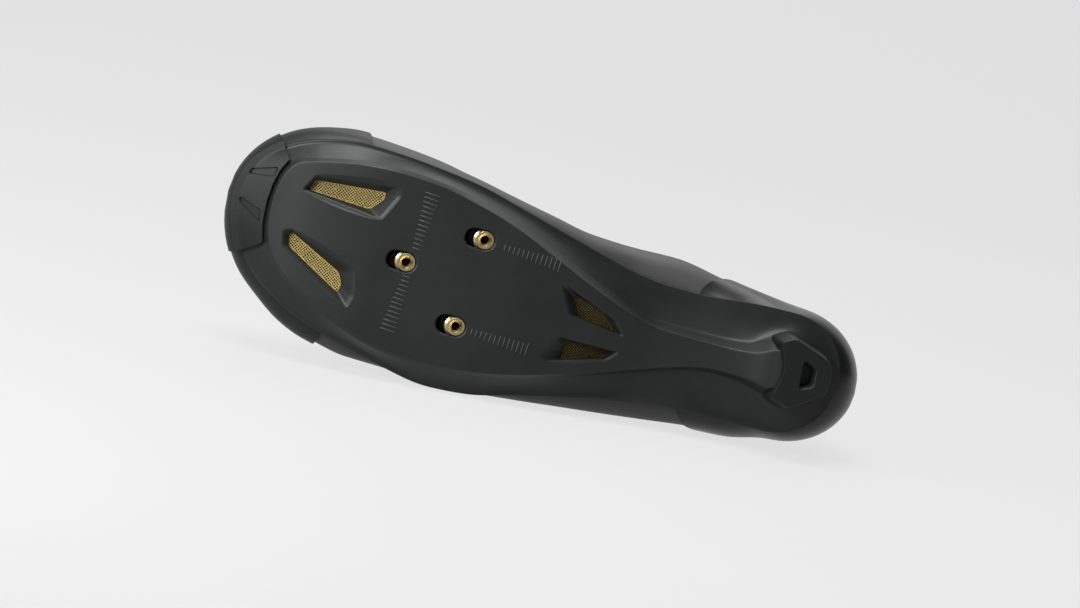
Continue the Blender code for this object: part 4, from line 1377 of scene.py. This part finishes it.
        nut.data.materials.append(self.shop.finishes["blackened_steel"])

    def make_mesh(self, name: str) -> None:
        """A woven panel of gold thread in a vent; the rear panels are painted darker as painted shade."""
        edge = self.vent_loop(name, self.vent_depth + GAP + self.thread, -0.5 * GAP)
        middle = sum(edge, Vector()) / len(edge)
        reach = max((point - middle).length for point in edge)
        cells = int(2.0 * reach / self.mesh_pitch) + 1
        mesh = bmesh.new()
        bmesh.ops.create_grid(mesh, x_segments=cells, y_segments=cells, size=cells * self.mesh_pitch / 2.0)
        turn = Matrix.Rotation(math.radians(self.mesh_turn), 3, "Z")
        bmesh.ops.rotate(mesh, cent=(0.0, 0.0, 0.0), matrix=turn, verts=mesh.verts)
        bmesh.ops.translate(mesh, vec=(middle.x, middle.y, 0.0), verts=mesh.verts)
        hull = self.convex(edge)
        for index, point in enumerate(hull):
            run = point - hull[index - 1]
            normal = Vector((run.y, -run.x, 0.0)).normalized()
            if normal.dot(middle - point) > 0.0:
                normal = -normal
            bmesh.ops.bisect_plane(
                mesh,
                geom=mesh.verts[:] + mesh.edges[:] + mesh.faces[:],
                plane_co=(point.x, point.y, 0.0),
                plane_no=normal,
                clear_outer=True,
            )
        for vertex in mesh.verts:
            vertex.co.z = FORM.sole["plate"](vertex.co.x) + self.vent_depth + GAP + self.thread
        # The rear panels take the darker copy of the gold thread as painted shade.
        finish = "painted_shade_thread" if "rear" in name else "gold_thread"
        panel = self.shop.piece(name + "_weave", mesh, finish, Slot.MESH, [name], 60.0)
        wires = panel.modifiers.new("threads", "WIREFRAME")
        wires.thickness = self.thread
        wires.use_even_offset = False
        wires.use_boundary = True

    @staticmethod
    def convex(points: Sequence[Vector]) -> list[Vector]:
        """Corners of the convex outline of some points in plan."""
        ordered = sorted(points, key=lambda point: (point.x, point.y))
        outline: list[Vector] = []
        for run in (ordered, ordered[::-1]):
            start = len(outline)
            for point in run:
                while len(outline) - start >= 2:
                    a, b = outline[-2], outline[-1]
                    if (b.x - a.x) * (point.y - a.y) - (b.y - a.y) * (point.x - a.x) > 0.0:
                        break
                    outline.pop()
                outline.append(point)
            outline.pop()
        return outline

    def make_marks(self) -> None:
        """Rows of raised index marks beside the slots, as one piece."""
        mesh = bmesh.new()
        for row, index in itertools.product(MARK_ROWS, range(self.mark_count)):
            grow = index / (self.mark_count - 1)
            long = mix(row.shortest, row.longest, grow)
            sides = (long, self.mark_width) if row.lengthwise else (self.mark_width, long)
            made = bmesh.ops.create_cube(mesh, size=1.0)["verts"]
            place = Vector((row.x + row.run_x * grow, row.y + row.run_y * grow, 0.0))
            centre = self.turned(place, self.plan_turn)
            centre.z = FORM.sole["plate"](centre.x)
            size = Matrix.Diagonal((*sides, 2.0 * self.mark_rise, 1.0))
            turn = Matrix.Rotation(math.radians(self.plan_turn), 4, "Z")
            bmesh.ops.transform(mesh, matrix=Matrix.Translation(centre) @ turn @ size, verts=made)
            edges = list({edge for vertex in made for edge in vertex.link_edges})
            bmesh.ops.bevel(
                mesh,
                geom=edges,
                offset=self.mark_bevel,
                segments=1,
                profile=0.5,
                affect="EDGES",
                material=-1,
            )
        self.shop.piece("index_marks", mesh, "marks_composite", Slot.SOLE)


@dataclass
class Bumpers:
    """The rubber toe bumper and heel pad."""

    shop: Workshop
    thickness: float = 0.0018
    stations: int = 96
    groove_depth: float = 0.0011
    pad_height: float = 0.64
    wrap: tuple[float, ...] = (-0.85, -0.7, -0.55, -0.4, -0.25, -0.1, 0.05)

    BUMPER_PLAN = (
        PlanPoint(1.200, 0.900),
        PlanPoint(0.966, 0.400),
        PlanPoint(0.937, 0.259),
        PlanPoint(0.947, 0.000),
        PlanPoint(0.947, -0.130),
        PlanPoint(0.981, -0.205),
        PlanPoint(1.200, -0.600),
    )
    GROOVES = (
        (PlanPoint(0.992, 0.162), PlanPoint(0.989, 0.186), PlanPoint(0.953, 0.224), PlanPoint(0.956, 0.180)),
        (PlanPoint(0.996, 0.046), PlanPoint(0.962, 0.014), PlanPoint(0.960, -0.036), PlanPoint(0.994, 0.026)),
    )
    HEEL_PLAN = (
        PlanPoint(0.136, 0.080),
        PlanPoint(0.107, 0.128),
        PlanPoint(0.041, 0.062),
        PlanPoint(0.028, -0.010),
        PlanPoint(0.030, -0.125),
        PlanPoint(0.088, -0.244),
        PlanPoint(0.128, -0.206),
        PlanPoint(0.118, -0.060),
    )
    RECESS_PLAN = (
        PlanPoint(0.083, 0.013),
        PlanPoint(0.063, -0.011),
        PlanPoint(0.061, -0.092),
        PlanPoint(0.080, -0.115),
    )

    @staticmethod
    def corners(rows: Sequence[PlanPoint]) -> list[Vector]:
        """A plan outline in metres."""
        s = FORM.sizes
        return [Vector((row.at * s.sole_length, row.side * s.sole_width, 0.0)) for row in rows]

    def build(self, grown_sole: bpy.types.Object) -> None:
        """Make the bumper and the pad.

        Args:
            grown_sole: the sole a little larger, which both are cut by.
        """
        self.make_bumper(grown_sole)
        self.make_pad(grown_sole)

    def make_bumper(self, grown_sole: bpy.types.Object) -> None:
        """A skin round the toe of the sole with two grooves."""
        count = self.stations // 3
        around = [(Side.OUTER, index) for index in range(count, 0, -1)]
        around += [(Side.INNER, index) for index in range(count + 1)]
        rows = []
        for side, index in around:
            share = station(self.stations - index, self.stations)
            edge, lip, middle, foot, _ = FORM.under_points(share, side)
            run = [foot.lerp(middle, part) for part in (0.0, 0.25, 0.5, 0.75)]
            run += [middle.lerp(lip, part) for part in (0.0, 0.33, 0.66)] + [lip, lip.lerp(edge, 0.6), edge]
            run += [FORM.upper_point(share, level, side) for level in self.wrap]
            rows.append(run)
        mesh = grid_sheet([(len(rows), len(rows[0]), lambda row, column: rows[row][column])])
        face_away(mesh, Vector((FORM.sizes.sole_length * 0.8, 0.0, FORM.sizes.sole_rise * 2.0)))
        swell(mesh, GAP)
        outer = mesh.copy()
        swell(outer, self.thickness)
        face = BVHTree.FromBMesh(outer)
        outer.free()
        bumper = self.shop.piece(
            "toe_bumper_moulding", mesh, "rubber", Slot.RUBBER, ["toe_bumper"], 38.0
        )
        self.shop.thicken(bumper, self.thickness, 1.0)
        outline = rounded_outline(self.corners(self.BUMPER_PLAN), 0.0015)
        keep = self.shop.helper("toe_bumper_shape", prism([(p.x, p.y) for p in outline], -FAR, FAR))
        self.shop.cut(bumper, keep, "INTERSECT")
        self.shop.cut(bumper, grown_sole)
        for index, groove in enumerate(self.GROOVES):
            corners = self.corners(groove)
            loops = []
            for depth, grow in ((-0.004, 0.0014), (-0.0003, 0.0003), (self.groove_depth, -0.0001)):
                loop = offset_outline(rounded_outline(corners, 0.0007, 3), grow)
                for point in loop:
                    hit = face.ray_cast(Vector((point.x, point.y, -FAR)), Vector((0.0, 0.0, 1.0)))[0]
                    point.z = (hit.z if hit else 0.0) + depth
                loops.append(loop)
            self.shop.cut(bumper, self.shop.helper(f"bumper_groove_{index}", lofted(loops)))
        self.shop.soften(bumper, 0.0005, 50.0, 2)
        self.shop.even(bumper)

    @staticmethod
    def drafted(
        outline: Sequence[Vector], draft: Sequence[tuple[float, float]]
    ) -> bmesh.types.BMesh:
        """Closed solid over an outline that is moved out or in at each height.

        Args:
            outline: the outline in plan.
            draft: each height with how far the outline is moved outwards there.

        Returns:
            The solid.
        """
        loops = []
        for rise, grow in draft:
            loop = offset_outline(outline, grow)
            for point in loop:
                point.z = rise
            loops.append(loop)
        return lofted(loops)

    def make_pad(self, grown_sole: bpy.types.Object) -> None:
        """A drafted block under the heel with rounded edges and a deep recess."""
        outline = rounded_outline(self.corners(self.HEEL_PLAN), 0.0030, 4)
        high = self.pad_height * FORM.sizes.sole_rise
        draft = ((0.0, -0.0026), (0.0002, -0.0022), (0.0007, -0.0020), (high * 0.6, -0.0008), (high, 0.0))
        block = self.drafted(outline, draft)
        pad = self.shop.piece("heel_pad_moulding", block, "rubber", Slot.RUBBER, ["heel_pad"], 38.0)
        self.shop.cut(pad, grown_sole)
        recess = rounded_outline(self.corners(self.RECESS_PLAN), 0.0015, 4)
        draft = ((-0.002, 0.0020), (-0.0001, 0.0009), (0.0003, 0.0004), (0.0010, 0.0), (0.0052, -0.0008))
        self.shop.cut(pad, self.shop.helper("heel_pad_recess", self.drafted(recess, draft)))
        self.shop.even(pad)


@dataclass
class Crease:
    """A soft trough or ridge across the side of the upper."""

    at: float
    slant: float
    level: float
    spread: float
    reach: float
    depth: float
    side: Side


@dataclass
class Upper:
    """The hollow upper, its overlays and its seams."""

    shop: Workshop
    stations: int = 120
    lower_levels: int = 12
    upper_levels: int = 22
    overlay: float = 0.0009
    counter_front: float = 0.114
    counter_size: tuple[float, float] = (0.076, 0.064)
    counter_skew: float = 0.17
    guard_back: float = 0.205
    guard_start: float = 0.2275
    guard_size: tuple[float, float] = (0.049, 0.044)
    stitch_levels: tuple[float, float] = (0.94, 0.90)
    stitch_pitch: float = 0.0030
    stitch_radius: float = 0.00028
    creases: tuple[Crease, ...] = (
        Crease(0.186, 0.30, 0.30, 0.0075, 0.55, -0.00055, Side.INNER),
        Crease(0.198, 0.25, 0.45, 0.0060, 0.50, 0.00035, Side.INNER),
        Crease(0.170, 0.35, 0.55, 0.0070, 0.40, -0.00040, Side.INNER),
        Crease(0.184, 0.30, 0.35, 0.0080, 0.55, -0.00050, Side.OUTER),
        Crease(0.199, 0.20, 0.50, 0.0060, 0.45, 0.00035, Side.OUTER),
        Crease(0.168, 0.30, 0.60, 0.0075, 0.40, -0.00040, Side.OUTER),
        Crease(0.060, -0.50, 0.55, 0.0100, 0.45, -0.00060, Side.INNER),
        Crease(0.074, -0.45, 0.70, 0.0085, 0.35, 0.00040, Side.INNER),
        Crease(0.058, -0.50, 0.60, 0.0100, 0.45, -0.00060, Side.OUTER),
        Crease(0.073, -0.45, 0.75, 0.0085, 0.35, 0.00040, Side.OUTER),
    )

    COUNTER_PLAN = (
        (-1.00, -0.20),
        (1.04, -0.20),
        (0.99, 0.25),
        (0.91, 0.39),
        (0.77, 0.53),
        (0.60, 0.68),
        (0.44, 0.82),
        (0.28, 0.92),
        (0.12, 0.98),
        (-1.00, 1.00),
    )
    GUARD_PLAN = (
        (0.000, -0.20),
        (0.010, 0.45),
        (0.040, 0.72),
        (0.100, 0.88),
        (0.200, 0.97),
        (0.320, 1.00),
        (1.200, 1.00),
        (1.200, -0.20),
    )

    def point(self, share: float, level: float, side: Side) -> Vector:
        """A point of the upper with its creases pressed in."""
        point = FORM.upper_point(share, level, side)
        for crease in self.creases:
            if crease.side is not side:
                continue
            middle = crease.at + crease.slant * (level - crease.level) * 0.02
            press = bump(point.x - middle, crease.spread) * bump(level - crease.level, crease.reach)
            point.y += side.value * crease.depth * press
        return point

    def surface(self, stations: int, lower: int, upper: int, creased: bool = True) -> bmesh.types.BMesh:
        """The outer surface of the upper, facing out.

        Args:
            stations: divisions along its length.
            lower: divisions below the widest line.
            upper: divisions above it.
            creased: whether the creases are pressed in.

        Returns:
            The open surface in the upright frame.
        """
        levels = [level / lower - 1.0 for level in range(lower)]
        levels += [level / upper for level in range(upper + 1)]
        make = self.point if creased else FORM.upper_point
        mesh = grid_sheet(
            [
                (
                    stations + 1,
                    len(levels),
                    lambda row, column, side=side: make(station(row, stations), levels[column], side),
                )
                for side in (Side.OUTER, Side.INNER)
            ]
        )
        face_away(mesh, Vector((FORM.sizes.sole_length / 2.0, 0.0, FORM.sizes.instep_height / 3.0)))
        return mesh

    def build(self, grown_sole: bpy.types.Object) -> None:
        """Make the upper, its overlays and its stitches.

        Args:
            grown_sole: the sole a little larger, which the overlays are cut by.
        """
        s = FORM.sizes
        mesh = self.surface(self.stations, self.lower_levels, self.upper_levels)
        map_plan(mesh, side_of)
        weights = []
        for vertex in mesh.verts:
            below = (FORM.collar(vertex.co.x - FORM.back) - vertex.co.z) / s.collar_pad_depth
            front = (vertex.co.x - FORM.back) / (0.34 * s.upper_length)
            padded = clamp(1.0 - below) * clamp(3.0 * (1.0 - front))
            weights.append(mix(s.wall / s.collar_pad, 1.0, padded))
        upper = self.shop.piece("upper_shell", mesh, "upper_leather", Slot.UPPER, ["upper"], 180.0)
        upper.data.materials.append(self.shop.finishes["lining_cloth"])
        group = upper.vertex_groups.new(name="wall")
        for index, weight in enumerate(weights):
            group.add([index], weight, "REPLACE")
        wall = self.shop.thicken(upper, s.collar_pad, -1.0)
        wall.vertex_group = group.name
        wall.material_offset = 1
        self.shop.smooth(upper, 1)
        self.make_counter(grown_sole)
        self.make_guard(grown_sole)
        self.make_seams()

    def skin(
        self, name: str, finish: str, slot: Slot, node: str, back: float, front: float
    ) -> bpy.types.Object:
        """A thin overlay that lies on the upper between two stations.

        Args:
            name: name of the piece.
            finish: name of its material.
            slot: the record's slot.
            node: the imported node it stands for.
            back: where it starts along the shoe.
            front: where it ends.

        Returns:
            The overlay before it is cut to its outline.
        """
        mesh = self.surface(self.stations, self.lower_levels, self.upper_levels, False)
        swell(mesh, GAP)
        beyond = [face for face in mesh.faces if not back < face.calc_center_median().x < front]
        bmesh.ops.delete(mesh, geom=beyond, context="FACES")
        above = [face for face in mesh.faces if face.calc_center_median().z > 0.85 * FORM.sizes.collar_height]
        bmesh.ops.delete(mesh, geom=above, context="FACES")
        map_plan(mesh, side_of)
        piece = self.shop.piece(name, mesh, finish, slot, [node], 38.0)
        self.shop.thicken(piece, self.overlay, 1.0)
        return piece

    def side_block(
        self,
        name: str,
        rows: Sequence[tuple[float, float]],
        reach: float,
        height: float,
        start: float,
        skew: float,
    ) -> bpy.types.Object:
        """Helper block whose side outline trims an overlay.

        Args:
            name: name of the helper.
            rows: outline in shares of reach and height.
            reach: length of the outline.
            height: height of the outline.
            start: where it starts along the shoe.
            skew: how much further back it lies on the outer side.

        Returns:
            The helper.
        """
        corners = [Vector((start + at * reach, up * height, 0.0)) for at, up in rows]
        outline = rounded_outline(corners, 0.006, 5)
        mesh = bmesh.new()
        face = mesh.faces.new([mesh.verts.new((p.x - skew * FAR, -FAR, p.y)) for p in outline])
        crossed = bmesh.ops.extrude_face_region(mesh, geom=[face])["geom"]
        moved = [item for item in crossed if isinstance(item, bmesh.types.BMVert)]
        bmesh.ops.translate(mesh, verts=moved, vec=(2.0 * skew * FAR, 2.0 * FAR, 0.0))
        bmesh.ops.recalc_face_normals(mesh, faces=mesh.faces)
        return self.shop.helper(name, mesh)

    def make_counter(self, grown_sole: bpy.types.Object) -> None:
        """The moulded overlay round the heel."""
        counter = self.skin(
            "heel_counter_film", "counter_film", Slot.COUNTER, "heel_counter", -FAR, self.counter_front
        )
        reach, height = self.counter_size
        block = self.side_block(
            "heel_counter_shape", self.COUNTER_PLAN, reach, height, 0.0, self.counter_skew
        )
        self.shop.cut(counter, block, "INTERSECT")
        self.shop.cut(counter, grown_sole)
        self.shop.soften(counter, self.overlay / 2.0, 50.0, 2)
        self.shop.even(counter)

    def make_guard(self, grown_sole: bpy.types.Object) -> None:
        """The rubbery overlay round the toe."""
        guard = self.skin(
            "toe_guard_film", "toe_rubber", Slot.TOE, "toe_guard", self.guard_back, 2.0 * FAR
        )
        reach, height = self.guard_size
        block = self.side_block(
            "toe_guard_shape", self.GUARD_PLAN, reach, height, self.guard_start, 0.0
        )
        self.shop.cut(guard, block, "INTERSECT")
        self.shop.cut(guard, grown_sole)
        self.shop.soften(guard, self.overlay / 2.0, 50.0, 2)
        self.shop.even(guard)

    def make_seams(self) -> None:
        """Rows of stitches below the collar and beside the throat."""
        for side in Side:
            run = []
            for index in range(12, self.stations + 1):
                share = station(index, self.stations)
                if mix(FORM.back, FORM.front, share) > FORM.sizes.throat_front - 0.004:
                    break
                here, beside = (self.point(share, level, side) for level in self.stitch_levels)
                run.append((here, beside))
            name = f"edge_stitch_{side.name.lower()}"
            stitch_row(self.shop, name, run, self.stitch_pitch, self.stitch_radius)


def stitch_row(
    shop: Workshop, name: str, run: Sequence[tuple[Vector, Vector]], pitch: float, radius: float
) -> None:
    """A row of short stitches along a line on a surface, as one piece.

    Args:
        shop: where the piece is made.
        name: its name.
        run: points of the line, each with a point beside it on the surface.
        pitch: distance from stitch to stitch.
        radius: half the thickness of the thread.
    """
    mesh = bmesh.new()
    travelled = 0.0
    for (here, beside), (there, _) in zip(run, run[1:]):
        step = (there - here).length
        while travelled < step:
            centre = here.lerp(there, travelled / step)
            along = (there - here).normalized()
            across = (beside - here).normalized()
            out = along.cross(across).normalized()
            if out.y * centre.y < 0.0:
                out = -out
            across = out.cross(along)
            made = bmesh.ops.create_icosphere(mesh, subdivisions=1, radius=1.0)["verts"]
            size = Matrix.Diagonal((pitch * 0.36, radius, radius, 1.0))
            turn = Matrix((along, across, out)).transposed().to_4x4()
            place = Matrix.Translation(centre + out * radius * 0.4)
            bmesh.ops.transform(mesh, matrix=place @ turn @ size, verts=made)
            travelled += pitch
        travelled -= step
    shop.piece(name, mesh, "thread", Slot.UPPER)


class StrapRow(NamedTuple):
    """A strap: its place, slant and width, and how far down each side it reaches."""

    name: str
    at: float
    slant: float
    width: float
    end_out: float
    end_in: float


@dataclass
class Closure:
    """Tongue, insole and straps."""

    shop: Workshop
    tongue_thickness: float = 0.0036
    tongue_front: float = 0.187
    tongue_top: float = 0.078
    tongue_tuck: float = 0.100
    insole_thickness: float = 0.0028
    insole_lift: float = 0.0020
    strap_thickness: float = 0.0017
    strap_width: float = 0.023
    straps: tuple[StrapRow, ...] = (
        StrapRow("strap_front", 0.612, 0.25, 0.95, 34.0, 40.0),
        StrapRow("strap_middle", 0.516, 0.25, 1.00, 32.0, 38.0),
        StrapRow("strap_top", 0.416, 0.10, 1.20, 30.0, 36.0),
    )

    def build(self) -> None:
        """Make the tongue, the insole and the straps."""
        self.make_insole()
        self.make_tongue()
        for strap in self.straps:
            self.make_strap(strap)

    def make_insole(self) -> None:
        """A foam insole under cloth that follows the bed of the sole."""
        s = FORM.sizes
        inset = s.foot_inset + s.wall + 0.0013
        count = 70
        rows = []
        for index in range(count + 1):
            share = station(index, count)
            under = FORM.bed_points(share, inset, self.insole_lift)
            over = FORM.bed_points(share, inset, self.insole_lift + self.insole_thickness)
            rows.append(under + over[::-1])
        columns = len(rows[0])
        mesh = grid_sheet([(count + 1, columns + 1, lambda row, column: rows[row][column % columns])])
        insole = self.shop.piece("insole_pad", mesh, "tongue_cloth", Slot.LINING, ["insole"], 50.0)
        self.shop.soften(insole, 0.0006, 60.0, 2)

    def make_tongue(self) -> None:
        """A padded tongue, crowned between sewn channels."""
        rows, columns = 60, 25
        s = FORM.sizes
        front, top, tuck = self.tongue_front, self.tongue_top, self.tongue_tuck

        def place(row: int, column: int) -> Vector:
            """Point of the tongue's upper face."""
            x = mix(front, top, row / (rows - 1))
            across = 2.0 * column / (columns - 1) - 1.0
            side = Side.INNER if across > 0.0 else Side.OUTER
            at = x - FORM.back
            wide = abs(FORM.sided("upper", "wide", side, at) - FORM.upper["ridge_side"](at))
            rounded = quarter((x - top + 0.002) / (0.4 * s.throat_width))
            overlap = mix(-2.0 * SOFT_GAP, 0.008, clamp((x - tuck) / s.throat_round))
            reach = (FORM.throat_gap(min(x, s.throat_front - s.throat_round)) + overlap) * max(rounded, 0.45)
            angle = math.acos(min(abs(across) * reach / wide, 1.0) ** s.fullness)
            point = FORM.arch_point(x, side, angle, ridge=FORM.instep(x))
            point.z -= 0.0005 * bump(abs(across) - 0.55, 0.12)
            return point

        mesh = grid_sheet([(rows, columns, place)])
        face_away(mesh, Vector((mix(front, top, 0.5), 0.0, 0.0)))
        swell(mesh, -(s.wall + SOFT_GAP))
        tongue = self.shop.piece("tongue_pad", mesh, "tongue_cloth", Slot.LINING, ["tongue"], 60.0)
        self.shop.thicken(tongue, self.tongue_thickness, -1.0)
        self.shop.soften(tongue, 0.0012, 60.0, 3)

    def make_strap(self, strap: StrapRow) -> None:
        """A hook and loop strap over the throat."""
        rows, columns = 61, 9

        def place(row: int, column: int) -> Vector:
            """Point of the strap's under face."""
            along = 2.0 * row / (rows - 1) - 1.0
            side = Side.INNER if along > 0.0 else Side.OUTER
            end = strap.end_in if side is Side.INNER else strap.end_out
            angle = math.radians(mix(90.0, end, abs(along)))
            across = column / (columns - 1) - 0.5
            x = FORM.back + strap.at * FORM.sizes.upper_length
            x += self.strap_width * (strap.width * across + strap.slant * along)
            return FORM.arch_point(x, side, angle, ridge=FORM.instep(x))

        mesh = grid_sheet([(rows, columns, place)])
        face_away(mesh, Vector((FORM.back + strap.at * FORM.sizes.upper_length, 0.0, 0.0)))
        swell(mesh, SOFT_GAP)
        map_plan(mesh, plan_of)
        piece = self.shop.piece(strap.name + "_web", mesh, "strap_web", Slot.STRAP, [strap.name], 60.0)
        self.shop.thicken(piece, self.strap_thickness, 1.0)
        self.shop.soften(piece, 0.0005, 60.0, 2)


class SoftBox(NamedTuple):
    """A disc of soft light that faces the shoe."""

    name: str
    place: tuple[float, float, float]
    size: float
    power: float


@dataclass
class Studio:
    """Floor, backdrop, lights and camera."""

    pixel: float = 0.43 * MM
    image_width: float = 1080.0
    roll: float = 16.0
    sensor: float = 36.0
    lens_share: float = 1.0075
    glow: float = 0.71
    surround: float = 0.06
    eye: Vector = field(default_factory=lambda: Vector((0.4239, 0.0844, -1.597)))
    aim: Vector = field(default_factory=lambda: Vector((0.1412, -0.0052, 0.003)))

    BOXES = (
        SoftBox("top_box", (-0.24, -0.24, 1.10), 0.7, 17.0),
        SoftBox("toe_box", (-0.52, -0.46, 0.34), 0.36, 6.0),
        SoftBox("back_box", (0.20, 0.90, 1.30), 1.0, 6.0),
    )

    def build(self) -> None:
        """Set up the floor, the light and the camera."""
        bpy.context.scene.view_settings.view_transform = "Standard"
        self.make_floor()
        self.make_light()
        self.make_camera()

    def make_floor(self) -> None:
        """A pale floor that sweeps up behind the shoe."""
        mesh = bmesh.new()
        bmesh.ops.create_grid(mesh, x_segments=1, y_segments=1, size=4.0)
        bmesh.ops.translate(mesh, vec=(0.0, -1.8, 0.0), verts=mesh.verts)
        back = [edge for edge in mesh.edges if all(vertex.co.y > 2.0 for vertex in edge.verts)]
        risen = bmesh.ops.extrude_edge_only(mesh, edges=back)["geom"]
        tops = [item for item in risen if isinstance(item, bmesh.types.BMVert)]
        bmesh.ops.translate(mesh, vec=(0.0, 0.0, 4.0), verts=tops)
        fold = [edge for edge in mesh.edges if all(v.co.y > 2.0 and v.co.z < 0.1 for v in edge.verts)]
        bmesh.ops.bevel(mesh, geom=fold, offset=1.2, segments=24, profile=0.5, affect="EDGES", material=-1)
        data = bpy.data.meshes.new("studio_floor")
        mesh.to_mesh(data)
        mesh.free()
        data.shade_smooth()
        floor = bpy.data.objects.new("studio_floor", data)
        bpy.context.scene.collection.objects.link(floor)
        material = bpy.data.materials.new("studio_paper")
        material.use_nodes = True
        w = Wiring(material.node_tree)
        shader = material.node_tree.nodes["Principled BSDF"]
        shade = w.spread(w.noise(3.0, 2.0), 0.3, 0.7, 0.050, 0.055)
        colour = w.add("ShaderNodeCombineColor")
        for socket in colour.inputs[:3]:
            w.feed(socket, shade)
        w.feed(shader.inputs["Base Color"], colour.outputs[0])
        shader.inputs["Roughness"].default_value = 0.9
        shader.inputs["Specular IOR Level"].default_value = 0.1
        shader.inputs["Emission Color"].default_value = (1.0, 1.0, 1.0, 1.0)
        shader.inputs["Emission Strength"].default_value = self.glow
        data.materials.append(material)

    def make_light(self) -> None:
        """Soft boxes over and beside the shoe, and a pale surround."""
        world = bpy.data.worlds.new("studio_surround")
        bpy.context.scene.world = world
        world.use_nodes = True
        world.node_tree.nodes["Background"].inputs["Color"].default_value = (1.0, 1.0, 1.0, 1.0)
        world.node_tree.nodes["Background"].inputs["Strength"].default_value = self.surround
        middle = Vector((0.0, 0.0, 0.04))
        for box in self.BOXES:
            light = bpy.data.lights.new(box.name, "AREA")
            light.shape = "DISK"
            light.size = box.size
            light.energy = box.power
            lamp = bpy.data.objects.new(box.name, light)
            lamp.location = box.place
            lamp.rotation_euler = (middle - Vector(box.place)).to_track_quat("-Z", "Y").to_euler()
            bpy.context.scene.collection.objects.link(lamp)

    def make_camera(self) -> None:
        """The photograph's view: nearly square on to the sole, rolled with the toe up."""
        eye, aim = LAY @ self.eye, LAY @ self.aim
        forward = (aim - eye).normalized()
        toe = LAY.to_3x3() @ Vector((1.0, 0.0, 0.0))
        inner = LAY.to_3x3() @ Vector((0.0, 1.0, 0.0))
        turn = math.radians(self.roll)
        up = toe * math.sin(turn) + inner * math.cos(turn)
        up = (up - forward * up.dot(forward)).normalized()
        right = forward.cross(up)
        data = bpy.data.cameras.new("camera")
        data.sensor_width = self.sensor
        width = self.image_width * self.pixel
        data.lens = self.lens_share * self.sensor * (aim - eye).length / width
        camera = bpy.data.objects.new("camera", data)
        turned = Matrix((right, up, -forward)).transposed().to_4x4()
        camera.matrix_world = Matrix.Translation(eye) @ turned
        bpy.context.scene.collection.objects.link(camera)
        bpy.context.scene.camera = camera


def main() -> None:
    """Build the shoe's sub-assemblies in order and report each piece."""
    shop = Workshop(Finishes())
    grown = Sole(shop).cage()
    swell(grown, GAP / 4.0)
    grown_sole = shop.helper("grown_sole", grown)
    Studio().build()
    Sole(shop).build()
    Bumpers(shop).build(grown_sole)
    Upper(shop).build(grown_sole)
    Closure(shop).build()
    LOG.info("%d pieces", len(shop.pieces))


if __name__ == "__main__":
    main()
